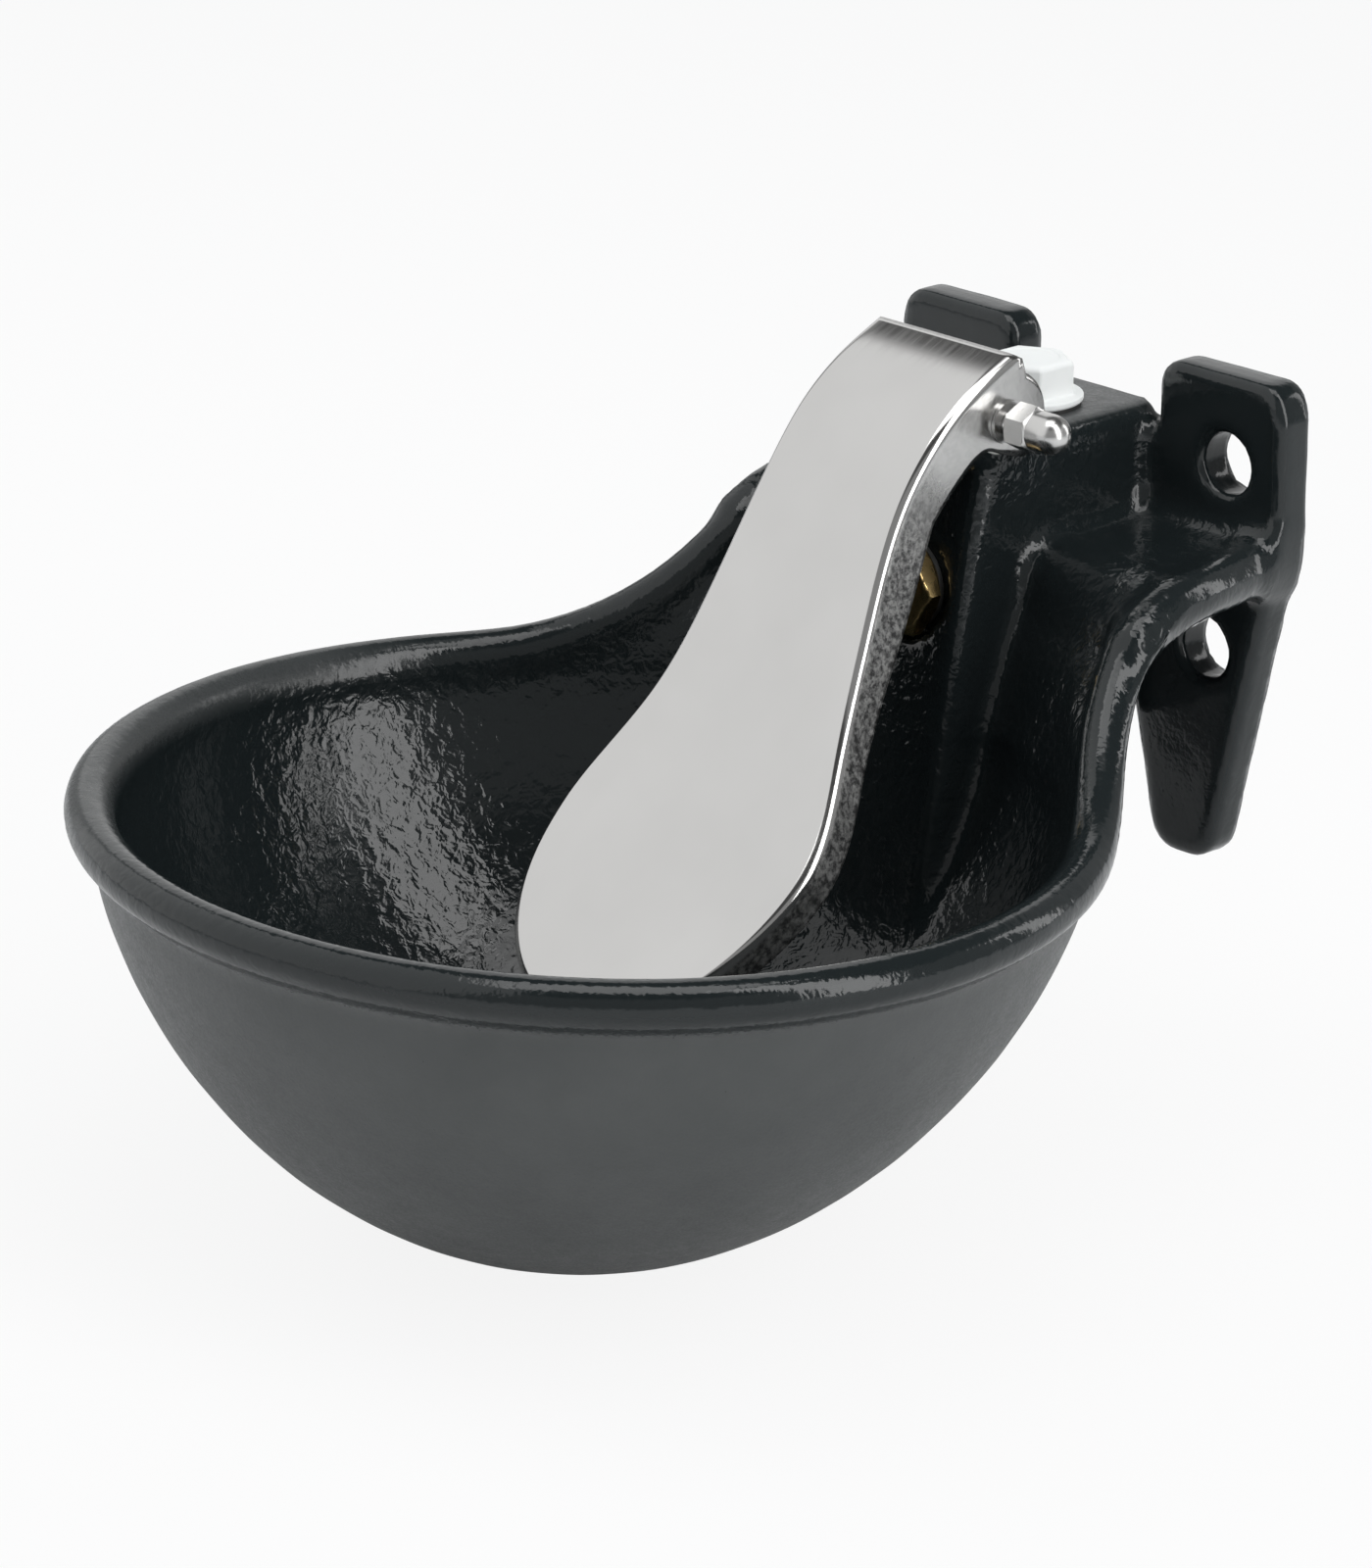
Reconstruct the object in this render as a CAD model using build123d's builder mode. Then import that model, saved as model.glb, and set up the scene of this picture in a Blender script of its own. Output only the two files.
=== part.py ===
"""Livestock drinking bowl with a drinking tongue.

An enamelled cast iron bowl hangs on a wall by two ears. A stainless steel tongue reaches down into the bowl and
swings on a bolt above it. The animal presses the tongue, the tongue pushes the stem of a brass valve, and water
runs from the housing into the bowl until the valve spring closes the seat again.

Millimetres. x = 0 is the plane of symmetry, y = 0 is the wall, the animal stands on the -Y side, +Z is up, and
z = 0 is the line of the two upper mounting holes.
"""

from build123d import *

import os
from math import cos, pi, sin, sqrt

# Bowl: the rim level is the centre of the bead along the front
RIM_LEVEL = -60.0
BOWL_CENTRE_Y = -168.7
BOWL_HALF_WIDTH = 119.5
BOWL_FRONT_REACH = 105.5
BOWL_REAR_REACH = 115.2
BOWL_DEPTH = 100.5
BOWL_WALL = 6.0
BOWL_DRIFT = -8.0
PROFILE_POWER = 1.6
PROFILE_ROOT = 0.49
FOOT_SHARE = 0.985
BEAD_RADIUS = 5.3

# Throat: the back of the bowl above the rim, which grows squarer and leans to the wall
THROAT_TOP = -19.0
THROAT_LEAN = 0.34
REAR_POWER = 1.93
THROAT_POWER = 3.0
THROAT_GROWTH = 4.0
OUTLINE_POINTS = 24

# Shelf between the throat and the ears: its side edge runs from the end of the wing to the side of the ear
SHELF_THICKNESS = 8.0
SHELF_SLOPE = 2.6
WING_END_Y = -59.0
BEAD_INSET = 0.3

# Back plate with the two ears
PLATE_THICKNESS = 10.2
EAR_TOP = 21.4
EAR_INNER = 23.5
EAR_OUTER_TOP = 61.2
EAR_OUTER = 63.5
EAR_SHOULDER = 13.0
EAR_TIP_LEVEL = -100.0
EAR_TIP_INNER = 26.0
EAR_TIP_OUTER = 43.5
WEB_TOP = 4.0
WEB_BOTTOM = -62.0
EAR_CORNER = 6.5
EAR_TIP_RADIUS = 8.5
EAR_EDGE = 2.5
UPPER_HOLE_X = 45.75
LOWER_HOLE_X = 40.7
LOWER_HOLE_LEVEL = -46.25
MOUNT_HOLE_RADIUS = 7.5
MOUNT_HOLE_LIP = 1.0

# Valve housing
PLATFORM_LEVEL = 9.0
HOUSING_HALF_WIDTH = 20.0
COLUMN_Y = -29.0
COLUMN_BOTTOM = -72.0
COLUMN_STEP = 2.0
HOUSING_FRONT = -63.1
HOUSING_FRONT_TOP = 2.5
HOUSING_LEAN = 0.187
HOUSING_TOE = -112.0
HOUSING_FOOT = -90.0
CHANNEL_RADIUS = 7.0
PIPE_SOCKET_RADIUS = 9.5
PIPE_SOCKET_DEPTH = 15.0

# Crest of the throat in the side view: it leaves the rim and climbs to the shelf
CREST_START_Y = -121.0
CREST_END_Y = -46.0
CREST_END_LEVEL = -22.0
CREST_GROWTH = 1.5
CREST_STATIONS = (-96.0, -78.0, -62.0)
BEAD_FRONT_ANGLES = (0.0, 22.0, 44.0, 66.0, 88.0)
BEAD_WING_STATIONS = (-145.0, -121.0, -104.0, -90.0, -78.0, -68.0, WING_END_Y)

# Tongue pivot
PIVOT_Y = -59.0
PIVOT_LEVEL = 15.0
PIVOT_BOSS_RADIUS = 11.3
PIVOT_BOSS_FOOT = 3.0
BOLT_RADIUS = 3.0
BUSH_WALL = 1.5
BUSH_FLANGE = 1.2
BUSH_FLANGE_RADIUS = 8.0
BUSH_LENGTH = 12.0

# Stainless steel tongue: side view of its face and of the rear edge of its flanges, from the top to the tip
TONGUE_FACE = [
    (-57.0, 30.6),
    (-68.7, 24.9),
    (-81.0, 15.9),
    (-91.3, 3.6),
    (-103.6, -18.5),
    (-116.5, -43.4),
    (-132.7, -66.0),
    (-154.7, -86.0),
    (-182.0, -111.0),
]
TONGUE_REAR = [
    (-67.8, 8.4),
    (-72.6, 5.2),
    (-79.5, -1.6),
    (-88.6, -17.8),
    (-97.0, -32.0),
    (-110.0, -51.5),
    (-126.5, -73.0),
    (-147.0, -92.0),
    (-176.0, -118.0),
]
LUG_RADIUS = 12.0
LUG_BACK_ANGLE = 62.0
LUG_HEEL_ANGLE = -50.0
LUG_HEEL_RADIUS = 2.0
LUG_NOTCH = (-64.6, 9.1)
SHEET = 1.5
SHEET_NORMAL = (0.74, -0.70)
LUG_HALF_WIDTH = 23.0
BLADE_HALF_WIDTH = 40.6
BLADE_FLANK = [(3.6, 75.0), (9.5, 103.0)]
PRESS_TILT = 30.0
NECK_START = -60.0
NECK_END = 42.0
BLADE_WIDEST = 133.0
BLADE_END = 180.5
TRAY_TOP = 60.0
TRAY_REACH = 95.0
PRESS_REACH = 200.0

# Bolt, acorn nut and washers: M6
HEX_FLATS = 10.0
BOLT_HEAD = 4.0
NUT_START = 26.5
NUT_HEX = 6.5
NUT_LENGTH = 15.2
NUT_DOME_RADIUS = 4.75
NUT_GRIP = 9.9
WASHER_RADIUS = 5.2
WASHER_THICKNESS = 1.0

# Brass valve: its axis runs along Y through the housing
VALVE_LEVEL = -27.0
VALVE_FACE_Y = -68.0
SPOT_FACE_RADIUS = 13.5
VALVE_THREAD_RADIUS = 9.5
VALVE_BORE_END = -24.0
VALVE_HEX = 22.0
VALVE_HEX_BEVEL = 2.6
VALVE_HEAD = 5.5
VALVE_SEAT_Y = -46.0
VALVE_PASSAGE_RADIUS = 5.5
GASKET_THICKNESS = 1.2
STEM_RADIUS = 2.5
STEM_CAP_RADIUS = 4.5
STEM_CAP_LENGTH = 7.0
GUIDE_LENGTH = 8.0
GUIDE_WALL = 1.0
GUIDE_FIN = 1.4
GUIDE_RECESS = 1.0
SEAL_RADIUS = 7.2
SEAL_THICKNESS = 2.0
POPPET_THICKNESS = 2.0
POPPET_STEP = 0.4
STEM_NUT_FLATS = 7.5
STEM_NUT_HEIGHT = 2.5
SPRING_RADIUS = 5.2
SPRING_WIRE = 0.8
SPRING_TURNS = 5
CAGE_WALL = 1.0
CAGE_LENGTH = 18.5
CAGE_SLOT = 3.0

# Plastic plug in the upper pipe socket
PLUG_FLANGE_RADIUS = 13.0
PLUG_FLANGE = 1.8
PLUG_HEAD_FLATS = 19.0
PLUG_HEAD = 8.5
PLUG_BEVEL = 1.5
PLUG_SHANK = 12.0
PLUG_GASKET = 0.8
PLUG_GASKET_STEP = 0.5

# Clearances
RUNNING_FIT = 0.05
FACE_GAP = 0.3
THREAD_FIT = 0.04
SEAT_GAP = 0.05


def depth_share(level, depth):
    """How wide the bowl still is at a level, as a share of its width at the rim."""
    sunk = max(0.0, (RIM_LEVEL - level) / depth)
    return (1 - sunk**PROFILE_POWER) ** PROFILE_ROOT


def centre_y(level):
    """The middle of the bowl drifts to the front as it goes down."""
    return BOWL_CENTRE_Y + BOWL_DRIFT * max(0.0, (RIM_LEVEL - level) / BOWL_DEPTH)


def throat_share(level):
    """0 at the rim, 1 at the top of the throat."""
    return max(0.0, (level - RIM_LEVEL) / (THROAT_TOP - RIM_LEVEL))


def rear_power(level):
    """Roundness of the rear half: near 2 is an ellipse, 3 is a rounded box."""
    return REAR_POWER + (THROAT_POWER - REAR_POWER) * throat_share(level) ** THROAT_GROWTH


def rear_reach(level):
    """Reach of the rear wall behind the middle of the bowl, above the rim."""
    return BOWL_REAR_REACH + THROAT_LEAN * max(0.0, level - RIM_LEVEL)


def rear_wall_y(level):
    """Middle of the thickness of the rear wall at x = 0."""
    return centre_y(level) + (rear_reach(level) - BOWL_WALL / 2) * depth_share(level, BOWL_DEPTH)


def ear_side(level):
    """Half width of the ears below their shoulder, where the sides taper to the tips."""
    share = (-EAR_SHOULDER - level) / (-EAR_SHOULDER - EAR_TIP_LEVEL)
    return EAR_OUTER + (EAR_TIP_OUTER - EAR_OUTER) * share


def wall_outline(level, inset):
    """Points round the bowl wall at a level, moved inwards by inset."""
    share = depth_share(level, BOWL_DEPTH - inset)
    half_width = (BOWL_HALF_WIDTH - inset) * share
    front = (BOWL_FRONT_REACH - inset) * share
    rear = (rear_reach(level) - inset) * share
    power = 2 / rear_power(level)
    points = []
    for step in range(OUTLINE_POINTS):
        angle = 2 * pi * step / OUTLINE_POINTS
        across = cos(angle)
        along = sin(angle)
        if along > 0:
            x = half_width * (1 if across > 0 else -1) * abs(across) ** power
            y = rear * along**power
        else:
            x = half_width * across
            y = front * along
        points.append((x, centre_y(level) + y))
    return points


def wall_levels(depth):
    """Levels of the loft: from the foot of the bowl up to the rim and on to the top of the throat."""
    sunk = [FOOT_SHARE, 0.95, 0.88, 0.76, 0.6, 0.4, 0.2, 0.0]
    raised = [0.35, 0.65, 0.85, 1.0, 1.2]
    levels = [RIM_LEVEL - depth * share for share in sunk]
    levels += [RIM_LEVEL + (THROAT_TOP - RIM_LEVEL) * share for share in raised]
    return levels


def crest_point(y):
    """Middle of the bead on the right-hand side, where the crest line of the side view passes y."""
    level = crest_level(y)
    middle = centre_y(level)
    if y < middle:
        share = (y - middle) / BOWL_FRONT_REACH
        x = BOWL_HALF_WIDTH * sqrt(max(0.0, 1 - share**2))
    else:
        power = rear_power(level)
        share = (y - middle) / (rear_reach(level) - BOWL_WALL / 2)
        x = BOWL_HALF_WIDTH * (1 - share**power) ** (1 / power)
    return (x, y, level)


def crest_level(y):
    """Height of the crest in the side view: level along the front, then an eased climb to the shelf."""
    share = max(0.0, (y - CREST_START_Y) / (CREST_END_Y - CREST_START_Y)) ** CREST_GROWTH
    return RIM_LEVEL + (CREST_END_LEVEL - RIM_LEVEL) * (1 - cos(pi * min(1.0, share))) / 2


# Path of the bead, right half: front, side, wing, then along the shelf to the ear
shelf_front_half = crest_point(WING_END_Y)[0]
shelf_back_half = ear_side(CREST_END_LEVEL) - BEAD_RADIUS - BEAD_INSET
right_bead = []
for angle in BEAD_FRONT_ANGLES:
    turned = angle * pi / 180
    right_bead.append(
        (BOWL_HALF_WIDTH * sin(turned), BOWL_CENTRE_Y - BOWL_FRONT_REACH * cos(turned), RIM_LEVEL)
    )
for y in BEAD_WING_STATIONS:
    right_bead.append(crest_point(y))
right_bead.append((shelf_front_half, CREST_END_Y, CREST_END_LEVEL))
right_bead.append(((shelf_front_half + shelf_back_half) / 2, CREST_END_Y / 2, CREST_END_LEVEL))
right_bead.append((shelf_back_half, -PLATE_THICKNESS / 2, CREST_END_LEVEL))
left_bead = [(-x, y, z) for x, y, z in right_bead[:0:-1]]

# Bowl casting: the wall of the bowl and its throat, trimmed to the crest line
with BuildPart() as bowl_hollow:
    for level in wall_levels(BOWL_DEPTH - BOWL_WALL):
        with BuildSketch(Plane.XY.offset(level)):
            with BuildLine():
                Spline(*wall_outline(level, BOWL_WALL), periodic=True)
            make_face()
    loft()

with BuildPart() as bowl_shell:
    for level in wall_levels(BOWL_DEPTH):
        with BuildSketch(Plane.XY.offset(level)):
            with BuildLine():
                Spline(*wall_outline(level, 0.0), periodic=True)
            make_face()
    loft()
    add(bowl_hollow.part, mode=Mode.SUBTRACT)
    with BuildSketch(Plane.YZ):
        with BuildLine():
            Polyline((CREST_END_Y, CREST_END_LEVEL), (CREST_END_Y, THROAT_TOP), (0, THROAT_TOP), (0, 20))
            Polyline((0, 20), (-320, 20), (-320, RIM_LEVEL), (CREST_START_Y, RIM_LEVEL))
            Spline(
                (CREST_START_Y, RIM_LEVEL),
                *[(y, crest_level(y)) for y in CREST_STATIONS],
                (CREST_END_Y, CREST_END_LEVEL),
                tangents=((1, 0), (1, 0)),
            )
        make_face()
    extrude(amount=2 * BOWL_HALF_WIDTH, both=True, mode=Mode.SUBTRACT)

with BuildPart() as rim_bead:
    with BuildLine() as bead_path:
        Spline(*left_bead, *right_bead)
    with BuildSketch(Plane(bead_path.wires()[0] @ 0, z_dir=bead_path.wires()[0] % 0)):
        Circle(BEAD_RADIUS)
    sweep()

# Shelf: a web from the ears to the throat, its edge carried by the bead
shelf_top = THROAT_TOP
shelf_front_y = CREST_END_Y + BOWL_WALL / 2
with BuildPart() as shelf:
    with BuildSketch(Plane.YZ):
        with BuildLine():
            Polyline(
                (-PLATE_THICKNESS / 2, shelf_top + SHELF_SLOPE),
                (shelf_front_y, shelf_top),
                (shelf_front_y, shelf_top - SHELF_THICKNESS),
                (-PLATE_THICKNESS / 2, shelf_top + SHELF_SLOPE - SHELF_THICKNESS),
                close=True,
            )
        make_face()
    extrude(amount=max(shelf_front_half, shelf_back_half), both=True)
    with BuildSketch(Plane.XY.offset(shelf_top - 2 * SHELF_THICKNESS)):
        with BuildLine():
            Polyline(
                (shelf_back_half, 0),
                (shelf_front_half, CREST_END_Y),
                (-shelf_front_half, CREST_END_Y),
                (-shelf_back_half, 0),
                close=True,
            )
        make_face()
    extrude(amount=3 * SHELF_THICKNESS, mode=Mode.INTERSECT)

# Back plate: two ears that hang on the wall, joined by a web behind the valve housing
with BuildPart() as back_plate:
    with BuildSketch(Plane.XZ) as plate_outline:
        with BuildLine():
            Polyline(
                (0, WEB_TOP),
                (EAR_INNER, WEB_TOP),
                (EAR_INNER, EAR_TOP),
                (EAR_OUTER_TOP, EAR_TOP),
                (EAR_OUTER, EAR_SHOULDER),
                (EAR_OUTER, -EAR_SHOULDER),
                (EAR_TIP_OUTER, EAR_TIP_LEVEL),
                (EAR_TIP_INNER, EAR_TIP_LEVEL),
                (HOUSING_HALF_WIDTH - 3, WEB_BOTTOM),
                (0, WEB_BOTTOM),
                close=True,
            )
        make_face()
        lobe_ends = plate_outline.vertices().filter_by(lambda v: v.Y < WEB_BOTTOM - 1)
        fillet(lobe_ends, EAR_TIP_RADIUS)
        ear_tops = plate_outline.vertices().filter_by(lambda v: v.Y > WEB_TOP - 1 and v.X > EAR_INNER - 1)
        fillet(ear_tops.filter_by(lambda v: abs(v.Y - EAR_SHOULDER) > 1), EAR_CORNER)
        mirror(about=Plane.YZ)
        for side in (-1, 1):
            with Locations((side * UPPER_HOLE_X, 0), (side * LOWER_HOLE_X, LOWER_HOLE_LEVEL)):
                Circle(MOUNT_HOLE_RADIUS, mode=Mode.SUBTRACT)
    extrude(amount=PLATE_THICKNESS)
    front_face = back_plate.faces().sort_by(Axis.Y)[0]
    hole_edges = front_face.edges().filter_by(GeomType.CIRCLE)
    hole_edges = hole_edges.filter_by(lambda edge: abs(edge.radius - MOUNT_HOLE_RADIUS) < 0.01)
    fillet([edge for edge in front_face.edges() if edge not in hole_edges], EAR_EDGE)
    lip_edges = back_plate.faces().sort_by(Axis.Y)[0].edges().filter_by(GeomType.CIRCLE)
    fillet(lip_edges.filter_by(lambda edge: abs(edge.radius - MOUNT_HOLE_RADIUS) < 0.01), MOUNT_HOLE_LIP)

def housing_front(level):
    """The front of the housing leans towards the bowl as it goes down."""
    return HOUSING_FRONT - HOUSING_LEAN * (HOUSING_FRONT_TOP - level)


# Valve housing: a block whose front runs down into the rear wall of the bowl, a column under it for the
# pipe, and a boss for the pivot bolt on top
gasket_seat_y = VALVE_FACE_Y + GASKET_THICKNESS
with BuildPart() as housing:
    with BuildSketch(Plane.YZ):
        with BuildLine():
            Polyline(
                (-PLATE_THICKNESS, PLATFORM_LEVEL),
                (PIVOT_Y + PIVOT_BOSS_RADIUS + PIVOT_BOSS_FOOT, PLATFORM_LEVEL),
                (PIVOT_Y + PIVOT_BOSS_RADIUS * sin(pi / 4), PIVOT_LEVEL + PIVOT_BOSS_RADIUS * cos(pi / 4)),
                (PIVOT_Y, PIVOT_LEVEL),
                (PIVOT_Y - PIVOT_BOSS_RADIUS * cos(pi / 6), PIVOT_LEVEL - PIVOT_BOSS_RADIUS * sin(pi / 6)),
                (housing_front(HOUSING_FRONT_TOP), HOUSING_FRONT_TOP),
                (housing_front(HOUSING_TOE), HOUSING_TOE),
                (rear_wall_y(HOUSING_FOOT), HOUSING_FOOT),
                (COLUMN_Y, WEB_BOTTOM),
                (COLUMN_Y, THROAT_TOP - SHELF_THICKNESS),
                (-PLATE_THICKNESS, THROAT_TOP - SHELF_THICKNESS),
                close=True,
            )
        make_face()
        with Locations((PIVOT_Y, PIVOT_LEVEL)):
            Circle(PIVOT_BOSS_RADIUS)
    extrude(amount=HOUSING_HALF_WIDTH, both=True)
    with BuildSketch(Plane.XY.offset(COLUMN_BOTTOM)):
        with Locations((0, COLUMN_Y)):
            Circle(HOUSING_HALF_WIDTH - COLUMN_STEP)
    extrude(amount=THROAT_TOP - COLUMN_BOTTOM)
    with BuildSketch(Plane.XZ.offset(-gasket_seat_y)):
        with Locations((0, VALVE_LEVEL)):
            Circle(SPOT_FACE_RADIUS)
    extrude(amount=HOUSING_FRONT - gasket_seat_y, both=True)

with BuildPart() as bowl_casting:
    add(bowl_shell.part)
    add(rim_bead.part)
    add(shelf.part)
    add(back_plate.part)
    add(housing.part)
    with Locations(Location((0, gasket_seat_y, VALVE_LEVEL), (90, 0, 0))):
        Cylinder(SPOT_FACE_RADIUS, 20, align=(Align.CENTER, Align.CENTER, Align.MIN), mode=Mode.SUBTRACT)
        Cylinder(
            VALVE_THREAD_RADIUS + THREAD_FIT,
            VALVE_BORE_END - gasket_seat_y,
            align=(Align.CENTER, Align.CENTER, Align.MAX),
            mode=Mode.SUBTRACT,
        )
    with Locations((0, COLUMN_Y, COLUMN_BOTTOM)):
        Cylinder(
            CHANNEL_RADIUS,
            PLATFORM_LEVEL - COLUMN_BOTTOM,
            align=(Align.CENTER, Align.CENTER, Align.MIN),
            mode=Mode.SUBTRACT,
        )
        Cylinder(
            PIPE_SOCKET_RADIUS,
            PIPE_SOCKET_DEPTH,
            align=(Align.CENTER, Align.CENTER, Align.MIN),
            mode=Mode.SUBTRACT,
        )
    with Locations((0, COLUMN_Y, PLATFORM_LEVEL)):
        Cylinder(
            PIPE_SOCKET_RADIUS,
            PIPE_SOCKET_DEPTH,
            align=(Align.CENTER, Align.CENTER, Align.MAX),
            mode=Mode.SUBTRACT,
        )
    with Locations(Location((0, PIVOT_Y, PIVOT_LEVEL), (0, 90, 0))):
        Cylinder(BOLT_RADIUS + BUSH_WALL, 2 * HOUSING_HALF_WIDTH, mode=Mode.SUBTRACT)

# Tongue: a pressed tray, open to the back, whose flanges end in two lugs on the pivot
press_turn = PRESS_TILT * pi / 180
press_plane = Plane(origin=(0, 0, 0), x_dir=(1, 0, 0), z_dir=(0, cos(press_turn), -sin(press_turn)))


def blade_outline(inset):
    """Outline of the blade seen along the press direction, moved inwards by inset."""
    neck = LUG_HALF_WIDTH - inset
    widest = BLADE_HALF_WIDTH - inset
    tip = BLADE_END - inset
    with BuildSketch(press_plane, mode=Mode.PRIVATE) as outline:
        with BuildLine():
            Polyline((0, NECK_START), (neck, NECK_START), (neck, NECK_END))
            Spline(
                (neck, NECK_END),
                *[(neck + spread, along) for spread, along in BLADE_FLANK],
                (widest, BLADE_WIDEST),
                tangents=((0, 1), (0, 1)),
            )
            EllipticalCenterArc((0, BLADE_WIDEST), widest, tip - BLADE_WIDEST, start_angle=0, arc_size=90)
            Line((0, tip), (0, NECK_START))
        make_face()
        mirror(about=Plane(origin=(0, 0, 0), z_dir=(1, 0, 0)))
    return outline.sketch


# Hollow of the tray: all that lies behind the sheet of the face, open along the press direction
inner_points = [(y + SHEET * SHEET_NORMAL[0], z + SHEET * SHEET_NORMAL[1]) for y, z in TONGUE_FACE]
with BuildPart() as tray_hollow:
    with BuildSketch(Plane.YZ):
        with BuildLine():
            inner_face = Spline(*inner_points)
            tip_y, tip_level = inner_points[-1]
            Polyline(
                (tip_y, tip_level),
                (tip_y + TRAY_REACH * cos(press_turn), tip_level - TRAY_REACH * sin(press_turn)),
                (0, TRAY_TOP),
                inner_points[0],
            )
        make_face()
    extrude(amount=BLADE_HALF_WIDTH, both=True)
    extrude(blade_outline(SHEET), amount=PRESS_REACH, both=True, mode=Mode.INTERSECT)

with BuildPart() as drinking_tongue:
    with BuildSketch(Plane.YZ) as side_view:
        with BuildLine():
            face_line = Spline(*TONGUE_FACE)
            rear_line = Spline(*TONGUE_REAR[::-1])
            Line(face_line @ 1, rear_line @ 0)
            lug_arc = CenterArc(
                (PIVOT_Y, PIVOT_LEVEL), LUG_RADIUS, LUG_HEEL_ANGLE, LUG_BACK_ANGLE - LUG_HEEL_ANGLE
            )
            Polyline(rear_line @ 1, LUG_NOTCH, lug_arc @ 0)
            Line(lug_arc @ 1, face_line @ 0)
        make_face()
        fillet(side_view.vertices().sort_by_distance(lug_arc @ 0)[0], LUG_HEEL_RADIUS)
    extrude(amount=BLADE_HALF_WIDTH, both=True)
    extrude(blade_outline(0.0), amount=PRESS_REACH, both=True, mode=Mode.INTERSECT)
    add(tray_hollow.part, mode=Mode.SUBTRACT)
    with Locations(Location((0, PIVOT_Y, PIVOT_LEVEL), (0, 90, 0))):
        Cylinder(BOLT_RADIUS + RUNNING_FIT, 3 * LUG_HALF_WIDTH, mode=Mode.SUBTRACT)

# Pivot bolt: a hexagon bolt through both lugs and the boss, with an acorn nut on the right
head_start = LUG_HALF_WIDTH + SEAT_GAP + WASHER_THICKNESS
thread_end = NUT_START + NUT_GRIP
with BuildPart(Plane(origin=(0, PIVOT_Y, PIVOT_LEVEL), x_dir=(0, 1, 0), z_dir=(1, 0, 0))) as pivot_bolt:
    with Locations((0, 0, -head_start)):
        Cylinder(BOLT_RADIUS, head_start + thread_end, align=(Align.CENTER, Align.CENTER, Align.MIN))
    with BuildSketch(Plane(origin=(-head_start, PIVOT_Y, PIVOT_LEVEL), x_dir=(0, 1, 0), z_dir=(-1, 0, 0))):
        RegularPolygon(HEX_FLATS / 2, 6, major_radius=False)
    extrude(amount=BOLT_HEAD)

with BuildPart() as acorn_nut:
    with BuildSketch(Plane(origin=(NUT_START, PIVOT_Y, PIVOT_LEVEL), x_dir=(0, 1, 0), z_dir=(1, 0, 0))):
        RegularPolygon(HEX_FLATS / 2, 6, major_radius=False)
    extrude(amount=NUT_HEX)
    with BuildSketch(Plane.XZ.offset(-PIVOT_Y)) as dome_profile:
        with BuildLine():
            dome_straight = NUT_START + NUT_LENGTH - NUT_DOME_RADIUS
            Line((NUT_START + NUT_HEX, PIVOT_LEVEL), (NUT_START + NUT_HEX, PIVOT_LEVEL + NUT_DOME_RADIUS))
            Line(
                (NUT_START + NUT_HEX, PIVOT_LEVEL + NUT_DOME_RADIUS),
                (dome_straight, PIVOT_LEVEL + NUT_DOME_RADIUS),
            )
            RadiusArc(
                (dome_straight, PIVOT_LEVEL + NUT_DOME_RADIUS),
                (NUT_START + NUT_LENGTH, PIVOT_LEVEL),
                NUT_DOME_RADIUS,
            )
            Line((NUT_START + NUT_LENGTH, PIVOT_LEVEL), (NUT_START + NUT_HEX, PIVOT_LEVEL))
        make_face()
    revolve(axis=Axis((0, PIVOT_Y, PIVOT_LEVEL), (1, 0, 0)))
    with Locations(Location((NUT_START, PIVOT_Y, PIVOT_LEVEL), (0, 90, 0))):
        Cylinder(
            BOLT_RADIUS + THREAD_FIT,
            thread_end - NUT_START + THREAD_FIT,
            align=(Align.CENTER, Align.CENTER, Align.MIN),
            mode=Mode.SUBTRACT,
        )

with BuildPart() as pivot_washers:
    for side in (-1, 1):
        washer_middle = side * (LUG_HALF_WIDTH + SEAT_GAP + WASHER_THICKNESS / 2)
        with Locations(Location((washer_middle, PIVOT_Y, PIVOT_LEVEL), (0, 90, 0))):
            Cylinder(WASHER_RADIUS, WASHER_THICKNESS - SEAT_GAP)
            Cylinder(BOLT_RADIUS + THREAD_FIT, WASHER_THICKNESS, mode=Mode.SUBTRACT)

# Bushes: a flanged sleeve in each end of the boss carries the bolt and keeps the lugs off the casting
with BuildPart() as pivot_bushes:
    for side in (-1, 1):
        with Locations(Location((side * HOUSING_HALF_WIDTH, PIVOT_Y, PIVOT_LEVEL), (0, side * 90, 0))):
            Cylinder(
                BUSH_FLANGE_RADIUS,
                BUSH_FLANGE,
                align=(Align.CENTER, Align.CENTER, Align.MIN),
            )
            Cylinder(
                BOLT_RADIUS + BUSH_WALL - THREAD_FIT,
                BUSH_LENGTH,
                align=(Align.CENTER, Align.CENTER, Align.MAX),
            )
            Cylinder(BOLT_RADIUS + THREAD_FIT, 3 * BUSH_LENGTH, mode=Mode.SUBTRACT)


def along_valve(y):
    """Location on the valve axis at y, turned so that the local Z axis points to the front."""
    return Location((0, y, VALVE_LEVEL), (90, 0, 0))


FROM_BACK = (Align.CENTER, Align.CENTER, Align.MIN)
FROM_FRONT = (Align.CENTER, Align.CENTER, Align.MAX)

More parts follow.
